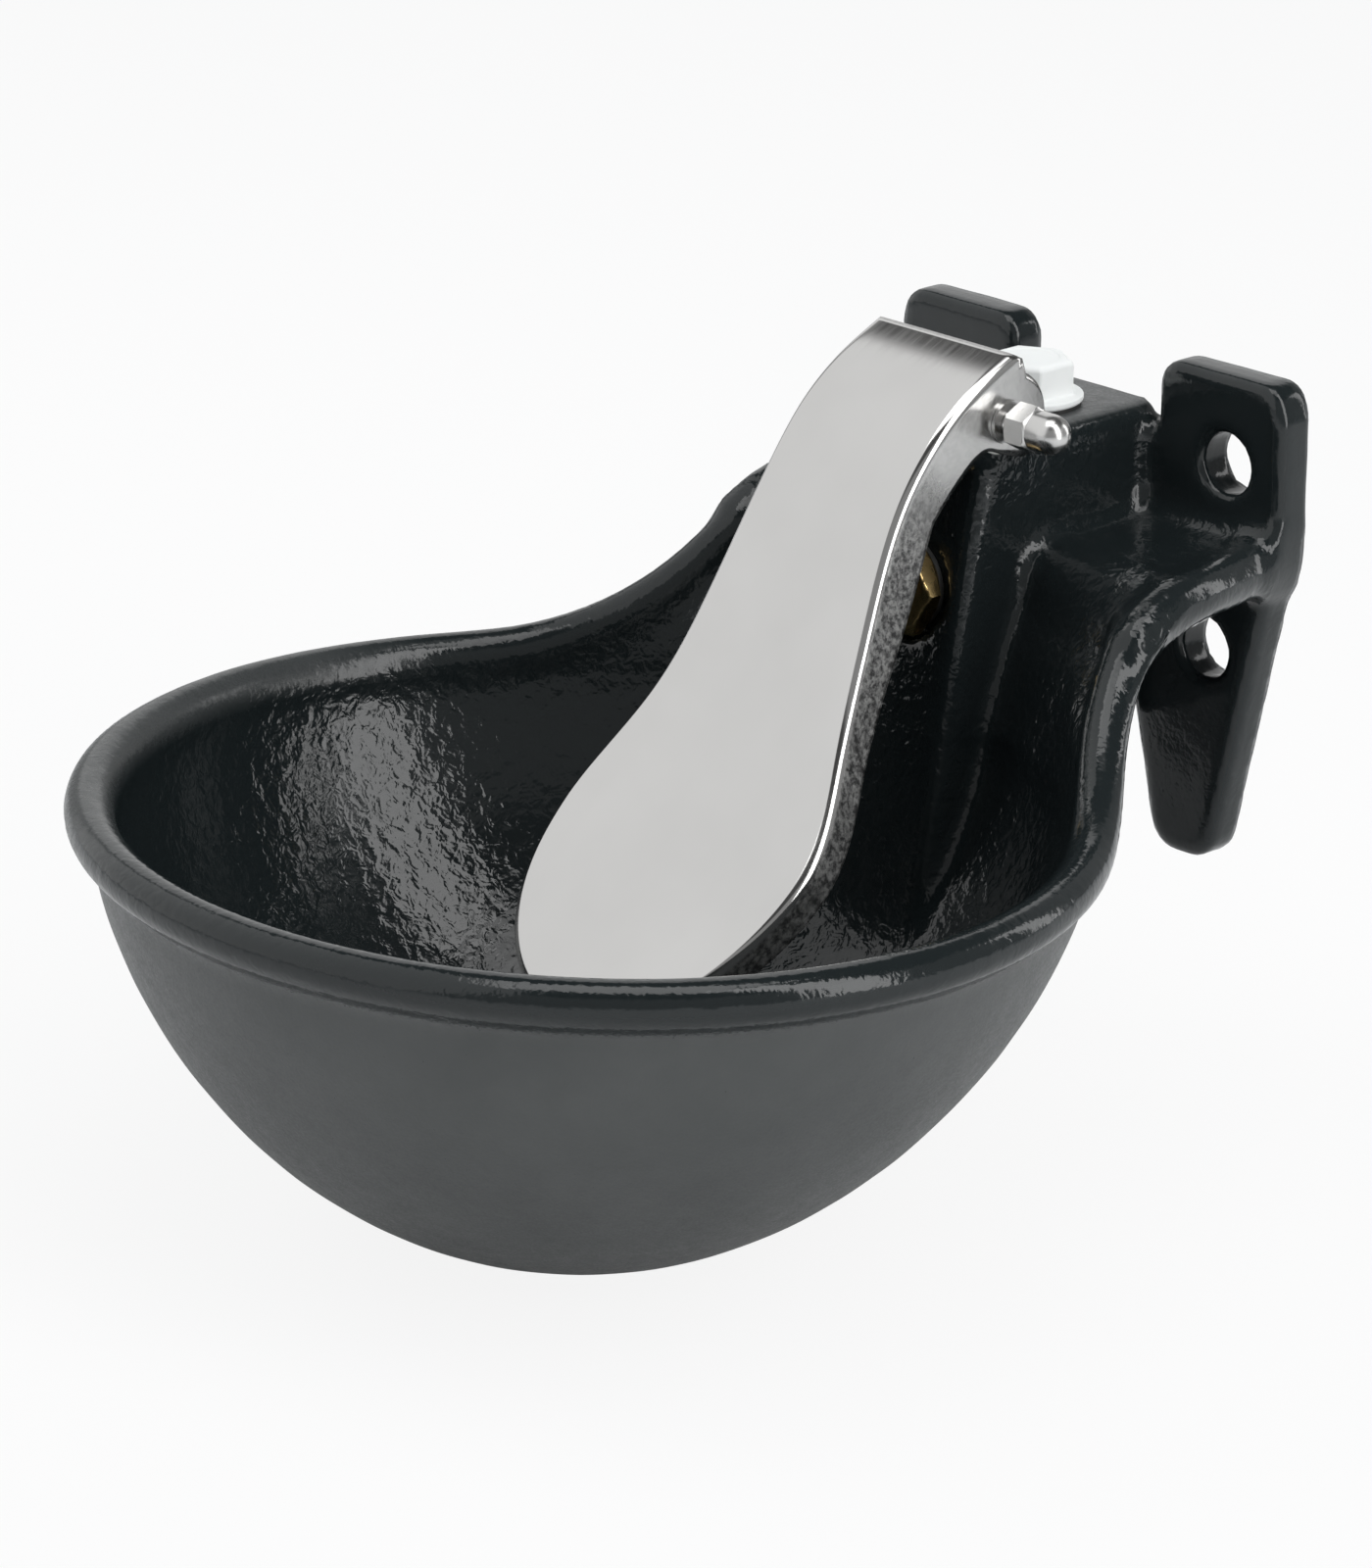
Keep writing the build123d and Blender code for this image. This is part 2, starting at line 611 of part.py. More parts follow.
# Valve body: a brass hexagon with a threaded shank that ends in the valve seat
with BuildPart() as valve_body:
    with BuildSketch(Plane.XZ.offset(-VALVE_FACE_Y)):
        with Locations((0, VALVE_LEVEL)):
            RegularPolygon(VALVE_HEX / 2, 6, major_radius=False)
    extrude(amount=VALVE_HEAD)
    with Locations(along_valve(VALVE_FACE_Y)):
        Cone(
            VALVE_HEX / 2 + VALVE_HEX_BEVEL,
            VALVE_HEX / 2,
            VALVE_HEAD,
            align=FROM_BACK,
            mode=Mode.INTERSECT,
        )
    with Locations(along_valve(VALVE_FACE_Y)):
        Cylinder(VALVE_THREAD_RADIUS, VALVE_SEAT_Y - VALVE_FACE_Y, align=FROM_FRONT)
    with Locations(along_valve(VALVE_SEAT_Y)):
        Cylinder(
            VALVE_PASSAGE_RADIUS,
            VALVE_SEAT_Y - VALVE_FACE_Y + VALVE_HEAD,
            align=FROM_BACK,
            mode=Mode.SUBTRACT,
        )

with BuildPart() as valve_gasket:
    with Locations(along_valve(VALVE_FACE_Y)):
        Cylinder(VALVE_HEX / 2, GASKET_THICKNESS, align=FROM_FRONT)
        Cylinder(VALVE_THREAD_RADIUS + THREAD_FIT, GASKET_THICKNESS, align=FROM_FRONT, mode=Mode.SUBTRACT)

# Stem guide: a sleeve with three fins inside the passage, so that water runs past it
with BuildPart() as stem_guide:
    guide_front = VALVE_FACE_Y - VALVE_HEAD + GUIDE_RECESS
    with Locations(along_valve(guide_front)):
        Cylinder(STEM_RADIUS + GUIDE_WALL, GUIDE_LENGTH, align=FROM_FRONT)
        for turn in range(3):
            with Locations(Location((0, 0, 0), (0, 0, 90 + 120 * turn))):
                Box(
                    VALVE_PASSAGE_RADIUS - THREAD_FIT,
                    GUIDE_FIN,
                    GUIDE_LENGTH,
                    align=(Align.MIN, Align.CENTER, Align.MAX),
                )
    with Locations(along_valve(guide_front)):
        Cylinder(VALVE_PASSAGE_RADIUS - THREAD_FIT, GUIDE_LENGTH, align=FROM_FRONT, mode=Mode.INTERSECT)
        Cylinder(STEM_RADIUS + RUNNING_FIT, 2 * GUIDE_LENGTH, mode=Mode.SUBTRACT)

# Stem: its domed cap rests against the back of the tongue, its tail carries the seal
tongue_sides = [face_line @ (step / 200) for step in range(201)]
touch = min(tongue_sides, key=lambda point: abs(point.Y - VALVE_LEVEL))
lower = min(tongue_sides, key=lambda point: abs(point.Y - VALVE_LEVEL + 5))
slope = sqrt(1 + ((touch.X - lower.X) / (touch.Y - lower.Y)) ** 2)
cap_centre_y = touch.X + (SHEET + STEM_CAP_RADIUS + FACE_GAP) * slope
seal_front_y = VALVE_SEAT_Y + SEAT_GAP
poppet_front_y = seal_front_y + SEAL_THICKNESS
nut_front_y = poppet_front_y + POPPET_THICKNESS
nut_back_y = nut_front_y + STEM_NUT_HEIGHT
with BuildPart() as valve_stem:
    with Locations(along_valve(nut_back_y)):
        Cylinder(STEM_RADIUS, nut_back_y - cap_centre_y - STEM_CAP_RADIUS / 2, align=FROM_BACK)

with BuildPart() as stem_cap:
    with Locations(along_valve(cap_centre_y)):
        Sphere(STEM_CAP_RADIUS)
        Cylinder(STEM_CAP_RADIUS, STEM_CAP_LENGTH, align=FROM_FRONT)
    with Locations(along_valve(cap_centre_y + STEM_CAP_RADIUS / 2)):
        Cylinder(
            STEM_RADIUS + THREAD_FIT,
            2 * STEM_CAP_LENGTH,
            align=FROM_FRONT,
            mode=Mode.SUBTRACT,
        )

with BuildPart() as seat_seal:
    with Locations(along_valve(seal_front_y)):
        Cylinder(SEAL_RADIUS, SEAL_THICKNESS, align=FROM_FRONT)
        Cylinder(STEM_RADIUS + THREAD_FIT, 3 * SEAL_THICKNESS, mode=Mode.SUBTRACT)

with BuildPart() as seal_plate:
    with Locations(along_valve(poppet_front_y)):
        Cylinder(SEAL_RADIUS - POPPET_STEP, POPPET_THICKNESS, align=FROM_FRONT)
        Cylinder(STEM_RADIUS + THREAD_FIT, 3 * POPPET_THICKNESS, mode=Mode.SUBTRACT)

with BuildPart() as stem_nut:
    with BuildSketch(Plane.XZ.offset(-nut_front_y)):
        with Locations((0, VALVE_LEVEL)):
            RegularPolygon(STEM_NUT_FLATS / 2, 6, major_radius=False)
            Circle(STEM_RADIUS + THREAD_FIT, mode=Mode.SUBTRACT)
    extrude(amount=-STEM_NUT_HEIGHT)

# Strainer cage: a slotted cup behind the seat, which also carries the back end of the spring
cage_outer = VALVE_THREAD_RADIUS - RUNNING_FIT
cage_back_y = VALVE_SEAT_Y + CAGE_LENGTH
with BuildPart() as strainer_cage:
    with Locations(along_valve(VALVE_SEAT_Y)):
        Cylinder(cage_outer, CAGE_LENGTH, align=FROM_FRONT)
        Cylinder(cage_outer - CAGE_WALL, CAGE_LENGTH - CAGE_WALL, align=FROM_FRONT, mode=Mode.SUBTRACT)
    with Locations(along_valve(VALVE_SEAT_Y + CAGE_LENGTH / 2)):
        for turn in range(4):
            with Locations(Location((0, 0, 0), (0, 0, 45 * turn))):
                Box(3 * cage_outer, CAGE_SLOT, CAGE_LENGTH - 3 * CAGE_SLOT, mode=Mode.SUBTRACT)

# Spring: closed on the seal plate at the front and on the floor of the cage at the back
spring_front_y = nut_front_y + SEAT_GAP
spring_back_y = cage_back_y - CAGE_WALL - SEAT_GAP
spring_length = spring_back_y - spring_front_y
wire_radius = SPRING_WIRE / 2
with BuildPart() as valve_spring:
    with BuildLine() as spring_path:
        Helix(
            pitch=(spring_length - SPRING_WIRE) / SPRING_TURNS,
            height=spring_length - SPRING_WIRE,
            radius=SPRING_RADIUS,
            center=(0, spring_back_y - wire_radius, VALVE_LEVEL),
            direction=(0, -1, 0),
        )
    with BuildSketch(Plane(spring_path.wires()[0] @ 0, z_dir=spring_path.wires()[0] % 0)):
        Circle(wire_radius)
    sweep(is_frenet=True)

# Plug that closes the upper pipe socket, with its sealing ring
with BuildPart() as inlet_plug:
    with Locations((0, COLUMN_Y, PLATFORM_LEVEL + PLUG_GASKET)):
        Cylinder(PLUG_FLANGE_RADIUS, PLUG_FLANGE, align=FROM_BACK)
        Cylinder(PIPE_SOCKET_RADIUS - THREAD_FIT, PLUG_SHANK + PLUG_GASKET, align=FROM_FRONT)
    with BuildSketch(Plane.XY.offset(PLATFORM_LEVEL + PLUG_GASKET + PLUG_FLANGE)):
        with Locations((0, COLUMN_Y)):
            RegularPolygon(PLUG_HEAD_FLATS / 2, 6, major_radius=False)
    extrude(amount=PLUG_HEAD)
    chamfer(inlet_plug.faces().sort_by(Axis.Z)[-1].edges(), PLUG_BEVEL)

with BuildPart() as plug_gasket:
    with Locations((0, COLUMN_Y, PLATFORM_LEVEL)):
        Cylinder(PLUG_FLANGE_RADIUS - PLUG_GASKET_STEP, PLUG_GASKET, align=FROM_BACK)
        Cylinder(PIPE_SOCKET_RADIUS, 3 * PLUG_GASKET, mode=Mode.SUBTRACT)

pieces = {
    "bowl_casting": bowl_casting,
    "drinking_tongue": drinking_tongue,
    "pivot_bolt": pivot_bolt,
    "acorn_nut": acorn_nut,
    "pivot_washers": pivot_washers,
    "pivot_bushes": pivot_bushes,
    "valve_body": valve_body,
    "valve_gasket": valve_gasket,
    "stem_guide": stem_guide,
    "valve_stem": valve_stem,
    "stem_cap": stem_cap,
    "seat_seal": seat_seal,
    "seal_plate": seal_plate,
    "stem_nut": stem_nut,
    "strainer_cage": strainer_cage,
    "valve_spring": valve_spring,
    "inlet_plug": inlet_plug,
    "plug_gasket": plug_gasket,
}
os.makedirs("parts", exist_ok=True)
for name, piece in pieces.items():
    piece.part.label = name
    export_step(piece.part, f"parts/{name}.step")
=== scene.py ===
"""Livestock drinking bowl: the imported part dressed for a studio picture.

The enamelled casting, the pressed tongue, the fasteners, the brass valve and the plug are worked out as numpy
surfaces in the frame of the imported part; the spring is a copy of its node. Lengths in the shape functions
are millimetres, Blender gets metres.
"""

from math import cos, pi, radians, sin

import bmesh
import bpy
import numpy as np
from bpy.props import FloatProperty, FloatVectorProperty, PointerProperty
from bpy.types import Operator, Panel, PropertyGroup
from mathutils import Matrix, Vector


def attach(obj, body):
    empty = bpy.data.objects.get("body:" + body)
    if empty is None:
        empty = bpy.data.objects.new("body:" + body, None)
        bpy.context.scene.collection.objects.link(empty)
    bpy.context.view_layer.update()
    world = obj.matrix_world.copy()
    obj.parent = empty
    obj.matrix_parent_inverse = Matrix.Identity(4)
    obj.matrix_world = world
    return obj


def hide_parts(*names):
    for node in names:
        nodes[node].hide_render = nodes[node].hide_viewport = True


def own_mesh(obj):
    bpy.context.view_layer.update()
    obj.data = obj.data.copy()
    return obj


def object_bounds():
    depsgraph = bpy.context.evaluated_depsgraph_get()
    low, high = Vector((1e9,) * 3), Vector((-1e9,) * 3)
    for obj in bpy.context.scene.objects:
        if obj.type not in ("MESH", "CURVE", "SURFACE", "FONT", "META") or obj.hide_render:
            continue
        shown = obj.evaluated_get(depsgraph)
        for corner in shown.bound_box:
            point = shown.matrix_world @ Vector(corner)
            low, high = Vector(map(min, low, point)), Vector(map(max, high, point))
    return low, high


bl_info = {
    "name": "Livestock Drinking Bowl",
    "version": (1, 0, 0),
    "blender": (4, 5, 0),
    "location": "View3D > Sidebar > Drinking Bowl",
    "description": "Dresses a packed livestock drinking bowl and sets it in a plain studio",
    "category": "Object",
}

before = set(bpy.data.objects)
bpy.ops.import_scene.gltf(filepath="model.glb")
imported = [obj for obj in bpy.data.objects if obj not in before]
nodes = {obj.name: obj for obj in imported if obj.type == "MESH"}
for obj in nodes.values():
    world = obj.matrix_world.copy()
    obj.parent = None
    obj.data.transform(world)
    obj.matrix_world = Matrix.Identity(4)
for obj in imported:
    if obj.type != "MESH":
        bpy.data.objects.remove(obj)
cad_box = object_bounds()

MM = 0.001

# Casting, in millimetres, named as in the part's source where that has the same size
RIM_LEVEL = -60.0
BOWL_CENTRE_Y = -168.7
BOWL_HALF_WIDTH = 119.5
BOWL_FRONT_REACH = 105.5
BOWL_REAR_REACH = 115.2
BOWL_DEPTH = 100.5
BOWL_WALL = 6.0
BOWL_DRIFT = -8.0
PROFILE_POWER = 1.6
PROFILE_ROOT = 0.49
BEAD_RADIUS = 5.3
THROAT_TOP = -19.0
THROAT_LEAN = 0.34
REAR_POWER = 1.93
THROAT_POWER = 3.0
THROAT_GROWTH = 4.0
CREST_START_Y = -121.0
CREST_END_Y = -46.0
CREST_END_LEVEL = -22.0
CREST_GROWTH = 1.5
SHELF_THICKNESS = 8.0
SHELF_SLOPE = 2.6
SHELF_FRONT_HALF = 65.2
SHELF_BACK_HALF = 55.8
SHELF_REACH = 16.0
SHELF_LIP = 7.0
SHELF_EDGE = 3.0
PLATE_THICKNESS = 10.2
PLATE_EDGE = 3.0
PLATE_BACK_EDGE = 2.0
FOOT_LEVEL = -158.9
FOOT_EDGE = 1.5
PLATE_OUTLINE = [
    (-30.0, 4.0, 0.0),
    (23.5, 4.0, 0.0),
    (23.5, 21.4, 6.5),
    (61.2, 21.4, 6.5),
    (63.5, 13.0, 0.0),
    (63.5, -13.0, 0.0),
    (43.5, -100.0, 8.5),
    (26.0, -100.0, 8.5),
    (17.0, -62.0, 0.0),
    (-30.0, -62.0, 0.0),
]
MOUNT_HOLES = [(45.75, 0.0), (40.7, -46.25)]
MOUNT_HOLE_RADIUS = 7.5
MOUNT_HOLE_EDGE = 1.6
PLATFORM_LEVEL = 9.0
HOUSING_HALF_WIDTH = 20.0
HOUSING_EDGE = 5.0
HOUSING_PROFILE = [
    (-5.0, 9.0),
    (-44.7, 9.0),
    (-51.0, 23.0),
    (-59.0, 15.0),
    (-68.8, 9.35),
    (-63.1, 2.5),
    (-84.5, -112.0),
    (-67.1, -90.0),
    (-29.0, -62.0),
    (-29.0, -27.0),
    (-5.0, -27.0),
]
PIVOT_Y = -59.0
PIVOT_LEVEL = 15.0
PIVOT_BOSS_RADIUS = 11.3
PIVOT_BOSS_FILLET = 3.0
PIVOT_BORE_RADIUS = 4.5
COLUMN_Y = -29.0
COLUMN_BOTTOM = -72.0
COLUMN_RADIUS = 18.0
COLUMN_EDGE = 3.0
CHANNEL_RADIUS = 7.0
SOCKET_RADIUS = 9.5
SOCKET_DEPTH = 15.0
VALVE_LEVEL = -27.0
SPOT_FACE_RADIUS = 13.5
SPOT_FACE_Y = -66.8
SPOT_FACE_ROOT_Y = -50.0
SPOT_FACE_FILLET = 2.0
VALVE_BORE_END = -24.0
VALVE_BORE_FRONT = -80.0
GRID_LOW = (-127.6, -282.3, -161.2)
GRID_HIGH = (127.6, 3.1, 27.5)

# Tongue, in millimetres: side view (y, z) of the face, of the rear edge and of the lugs
TONGUE_FACE = [
    (-57.0, 30.6),
    (-68.7, 24.9),
    (-81.0, 15.9),
    (-91.3, 3.6),
    (-103.6, -18.5),
    (-116.5, -43.4),
    (-132.7, -66.0),
    (-154.7, -86.0),
    (-182.0, -111.0),
]
TONGUE_REAR = [
    (-82.7, -5.3),
    (-88.6, -17.8),
    (-97.0, -32.0),
    (-110.0, -51.5),
    (-126.5, -73.0),
    (-147.0, -92.0),
    (-176.0, -118.0),
]
LUG_RADIUS = 12.0
LUG_BACK_ANGLE = 62.0
LUG_HEEL_ANGLE = -40.0
LUG_HEEL = [
    (-51.6, 6.0),
    (-53.6, 5.7),
    (-57.5, 6.6),
    (-61.4, 7.8),
    (-64.6, 9.0),
    (-67.8, 8.4),
    (-72.2, 5.4),
    (-79.1, -1.2),
    (-82.7, -5.3),
]
PRESS_TILT = 30.0
NECK_HALF_WIDTH = 23.0
NECK_END = 42.0
NECK_LEAD = 14.0
BLADE_FLANK = [(75.0, 3.6), (103.0, 9.5)]
BLADE_WIDEST = 133.0
BLADE_HALF_WIDTH = 40.6
BLADE_END = 180.5
FLARE_LEAD = 12.0
FLARE_DROP = 1.3
BEND_RADIUS = 2.8
SHEET = 1.5

# Fasteners, valve head and plug, in millimetres along their axes from the pivot's middle, the valve's face
# and the platform
NUT_START = 26.5
NUT_LENGTH = 6.5
NUT_FLATS = 10.0
DOME_RADIUS = 4.75
DOME_START = 36.95
DOME_NECK = 0.55
CHAMFER_SHARE = 0.95
CHAMFER_SLOPE = 0.58
HEAD_START = -28.0
HEAD_LENGTH = 4.0
BOLT_RADIUS = 2.97
BOLT_END = 36.0
THREAD_RADIUS = 2.82
THREAD_HEIGHT = 0.16
PLAIN_RINGS = 250
VALVE_FACE_Y = -68.0
VALVE_FLATS = 22.0
VALVE_HEAD = 5.5
VALVE_TAIL = -22.0
VALVE_BORE = 5.5
VALVE_MOUTH_RADIUS = 7.2
VALVE_MOUTH_FOOT = 4.3
PLUG_FLATS = 19.0
PLUG_EDGE = 1.5
PLUG_SHANK = [(-12.0, 0.0), (-12.0, 8.9), (-11.4, 9.46), (0.8, 9.46), (0.8, 12.4), (1.0, 13.0)]
PLUG_RIM = (2.1, 12.5)
PLUG_RIM_EDGE = 0.5
PLUG_FOOT = (2.6, 11.6)
PLUG_HEAD = [(2.9, 11.2), (9.6, 11.0)]
PLUG_CROWN = (9.6, 9.5)
PLUG_TOP = [(11.1, 7.4), (10.9, 7.1), (10.8, 0.0)]

# Studio, in metres and watts. The walls, the ceiling and the mirrored glow are what reflections show; each
# lamp has a name, a place, a width, a height, a power and whether reflections show it.
FILL = 0.45
WHITE_WALLS = 0.85
GREY_WALLS = 0.28
DARK_CEILING = 0.064
CEILING_LIGHT = 0.5
WHITE_WALL = (-0.65, -0.65, 0.4)
WHITE_WALL_EDGE = (0.565, 0.62)
REAR_WALL = (-0.69, 0.62, 0.37)
REAR_WALL_EDGE = (0.9, 0.96)
CEILING_EDGE = (0.6, 0.7)
CEILING_LIGHT_EDGE = (0.93, 0.98)
FLOOR_GLOW = 0.88
FLOOR_MIRRORED_GLOW = 0.1
FLOOR_HALF = 6.0
FLOOR_GAP = 0.0005
CAMERA_PLACE = (0.9358, -0.98, 0.3969)
CAMERA_DIP = 19.96
CAMERA_TURN = 48.0
CAMERA_LENS = 135.0
LAMP_TARGET = (0.0, -0.15, -0.06)
LAMPS = [
    ("softbox_right", (0.92, -0.06, 0.54), 0.38, 1.6, 7.0, True),
    ("softbox_rear", (0.5, 0.9, 0.3), 0.25, 0.8, 1.5, True),
    ("softbox_top", (0.1, -0.3, 1.3), 0.8, 0.8, 4.0, True),
    ("softbox_left", (-0.9, -0.5, 0.8), 0.7, 0.7, 5.0, False),
]


class BowlSizes(PropertyGroup):
    """Sizes that the surfaces of the casting are worked out with."""

    cell: FloatProperty(
        name="Casting cell",
        description="Grid spacing of the casting's surface",
        default=1.8 * MM,
        min=1.2 * MM,
        unit="LENGTH",
    )
    fillet: FloatProperty(
        name="Casting fillet",
        description="Size of the fillets where the parts of the casting meet",
        default=5.0 * MM,
        min=0.5 * MM,
        unit="LENGTH",
    )
    skin: FloatProperty(
        name="Casting skin",
        description="Depth of the waviness of the cast surface",
        default=0.16 * MM,
        min=0.0,
        unit="LENGTH",
    )


class BowlColours(PropertyGroup):
    """Colours of the finishes."""

    enamel: FloatVectorProperty(
        name="Enamel",
        description="Black enamel of the casting",
        default=(0.012, 0.016, 0.017),
        subtype="COLOR",
    )
    # The same grey on the housing's top is painted light that makes that top face lighter
    dull_enamel_and_painted_light: FloatVectorProperty(
        name="Dull enamel",
        description="Duller enamel of the outer wall",
        default=(0.078, 0.082, 0.082),
        subtype="COLOR",
    )
    steel: FloatVectorProperty(
        name="Steel", description="Polished stainless steel", default=(0.71, 0.705, 0.695), subtype="COLOR"
    )
    brass: FloatVectorProperty(
        name="Brass", description="Turned brass of the valve", default=(0.83, 0.6, 0.27), subtype="COLOR"
    )
    plastic: FloatVectorProperty(
        name="Plastic",
        description="White moulded plastic of the plug",
        default=(0.66, 0.67, 0.66),
        subtype="COLOR",
    )


def smooth_path(points, count):
    """The cubic curve through points, at count even steps of chord length.

    Each span is the blend a*p0 + b*p1 + ((a^3 - a)*m0 + (b^3 - b)*m1)*h^2/6, where m are second derivatives
    that make the slopes agree at every point and are zero at both ends.
    """
    knots = np.asarray(points, float)
    run = np.concatenate([[0.0], np.cumsum(np.linalg.norm(np.diff(knots, axis=0), axis=1))])
    span = np.diff(run)
    system = np.eye(len(knots))
    inner = np.arange(1, len(knots) - 1)
    system[inner, inner] = (span[:-1] + span[1:]) / 3
    system[inner, inner - 1] = span[:-1] / 6
    system[inner, inner + 1] = span[1:] / 6
    slopes = np.diff(knots, axis=0) / span[:, None]
    bends = np.zeros_like(knots)
    bends[1:-1] = np.diff(slopes, axis=0)
    bends = np.linalg.solve(system, bends)
    at = np.linspace(0.0, run[-1], count)
    k = np.clip(np.searchsorted(run, at, side="right") - 1, 0, len(span) - 1)
    h = span[k][:, None]
    b = ((at - run[k]) / span[k])[:, None]
    a = 1 - b
    return a * knots[k] + b * knots[k + 1] + ((a**3 - a) * bends[k] + (b**3 - b) * bends[k + 1]) * h * h / 6


def rounded_outline(corners, steps=6):
    """A closed outline whose corners are arcs: each corner is (x, y, radius), and its arc is the part of the
    circle that touches both edges, turned about the centre from one tangent point to the other."""
    outline = []
    for i, (x, y, radius) in enumerate(corners):
        here = np.array((x, y))
        if radius == 0:
            outline.append(here[None])
            continue
        back = np.array(corners[i - 1][:2]) - here
        ahead = np.array(corners[(i + 1) % len(corners)][:2]) - here
        back = back / np.linalg.norm(back)
        ahead = ahead / np.linalg.norm(ahead)
        half = np.arccos(np.clip(back @ ahead, -1, 1)) / 2
        reach = radius / np.tan(half)
        centre = here + (back + ahead) / np.linalg.norm(back + ahead) * radius / np.sin(half)
        first = here + back * reach - centre
        last = here + ahead * reach - centre
        turn = np.arctan2(first[0] * last[1] - first[1] * last[0], first @ last)
        angle = np.linspace(0, turn, steps)[:, None]
        side = np.array((-first[1], first[0]))
        outline.append(centre + np.cos(angle) * first + np.sin(angle) * side)
    return np.concatenate(outline)


def outline_distance(u, v, outline):
    """Signed distance to a closed outline: the least distance to its edges, negative where a ray crosses the
    outline an odd number of times."""
    nearest = np.full(np.broadcast(u, v).shape, np.inf)
    inside = np.zeros(nearest.shape, bool)
    for (ax, ay), (bx, by) in zip(outline, np.roll(outline, -1, axis=0)):
        ex, ey = bx - ax, by - ay
        share = np.clip(((u - ax) * ex + (v - ay) * ey) / (ex * ex + ey * ey), 0, 1)
        nearest = np.minimum(nearest, (u - ax - share * ex) ** 2 + (v - ay - share * ey) ** 2)
        if ey != 0:
            passed = ((ay > v) != (by > v)) & (u < ax + ex * (v - ay) / ey)
            inside = inside ^ passed
    return np.where(inside, -1.0, 1.0) * np.sqrt(nearest)


def join(a, b, size):
    """Union of two distances with a fillet: the lower one, less h^2 / (4 size), where h is how far their
    difference stays under size."""
    h = np.maximum(size - np.abs(a - b), 0)
    return np.minimum(a, b) - h * h / (4 * size)


def keep(a, b, size):
    """Intersection of two distances with a rounded edge of that size."""
    return -join(-a, -b, size)


def crest_level(y):
    """Height of the crest in the side view: level along the front, then a cosine ease up to the shelf."""
    share = np.clip((y - CREST_START_Y) / (CREST_END_Y - CREST_START_Y), 0, 1) ** CREST_GROWTH
    return RIM_LEVEL + (CREST_END_LEVEL - RIM_LEVEL) * (1 - np.cos(pi * share)) / 2


def bowl_form(x, y, z, inset):
    """Zero on the bowl wall moved inwards by inset, and negative inside.

    Round the bowl r is the superellipse radius of the point, 1 on the rim's outline; down the bowl the wall
    lies where r^(1 / root) + depth^power = 1.
    """
    sunk = np.maximum(RIM_LEVEL - z, 0)
    above = np.maximum(z - RIM_LEVEL, 0)
    along = y - BOWL_CENTRE_Y - BOWL_DRIFT * sunk / BOWL_DEPTH
    grown = np.minimum(above / (THROAT_TOP - RIM_LEVEL), 1.2) ** THROAT_GROWTH
    behind = along > 0
    power = np.where(behind, REAR_POWER + (THROAT_POWER - REAR_POWER) * grown, 2.0)
    reach = np.where(behind, BOWL_REAR_REACH + THROAT_LEAN * above, BOWL_FRONT_REACH) - inset
    across = np.abs(x) / (BOWL_HALF_WIDTH - inset)
    radius = (across**power + (np.abs(along) / reach) ** power) ** (1 / power)
    return radius ** (1 / PROFILE_ROOT) + (sunk / (BOWL_DEPTH - inset)) ** PROFILE_POWER - 1


def wall_distance(x, y, z, inset, reach=0.05):
    """Distance to the bowl form's zero surface, to first order: its value over the length of its gradient."""
    value = bowl_form(x, y, z, inset)
    steep = (bowl_form(x + reach, y, z, inset) - value) ** 2
    steep = steep + (bowl_form(x, y + reach, z, inset) - value) ** 2
    steep = steep + (bowl_form(x, y, z + reach, inset) - value) ** 2
    return value / np.maximum(np.sqrt(steep) / reach, 0.004)


def bead_path():
    """Middle line of the rim bead, right half: front, side, wing, then along the shelf to the ear.

    The front is a quarter ellipse. On the wing y runs back at the crest's level, and x is the half width
    times (1 - (along / reach)^power)^(1 / power), the superellipse of the bowl's rear.
    """
    turned = np.radians([0.0, 22.0, 44.0, 66.0, 88.0])
    front = np.stack(
        [
            BOWL_HALF_WIDTH * np.sin(turned),
            BOWL_CENTRE_Y - BOWL_FRONT_REACH * np.cos(turned),
            np.full(5, RIM_LEVEL),
        ],
        axis=1,
    )
    y = np.array([-145.0, -121.0, -104.0, -90.0, -78.0, -68.0, -59.0])
    level = crest_level(y)
    grown = np.clip((level - RIM_LEVEL) / (THROAT_TOP - RIM_LEVEL), 0, None) ** THROAT_GROWTH
    power = REAR_POWER + (THROAT_POWER - REAR_POWER) * grown
    reach = BOWL_REAR_REACH + THROAT_LEAN * (level - RIM_LEVEL) - BOWL_WALL / 2
    x = BOWL_HALF_WIDTH * (1 - ((y - BOWL_CENTRE_Y) / reach) ** power) ** (1 / power)
    wing = np.stack([x, y, level], axis=1)
    shelf = [
        (SHELF_FRONT_HALF, CREST_END_Y, CREST_END_LEVEL),
        ((SHELF_FRONT_HALF + SHELF_BACK_HALF) / 2, CREST_END_Y / 2, CREST_END_LEVEL),
        (SHELF_BACK_HALF, -PLATE_THICKNESS / 2, CREST_END_LEVEL),
    ]
    right = np.concatenate([front, wing, shelf])
    left = right[:0:-1] * (-1, 1, 1)
    whole = smooth_path(np.concatenate([left, right]), 301)
    return whole[150:]


def tube_distance(x, y, z, path, radius):
    """Distance to a round tube along a path: the least distance to the path's runs, less the radius."""
    nearest = np.full(np.broadcast(x, y, z).shape, np.inf)
    for a, b in zip(path[:-1:2], path[2::2]):
        e = b - a
        share = np.clip(((x - a[0]) * e[0] + (y - a[1]) * e[1] + (z - a[2]) * e[2]) / (e @ e), 0, 1)
        gap = (x - a[0] - share * e[0]) ** 2 + (y - a[1] - share * e[1]) ** 2 + (z - a[2] - share * e[2]) ** 2
        nearest = np.minimum(nearest, gap)
    return np.sqrt(nearest) - radius


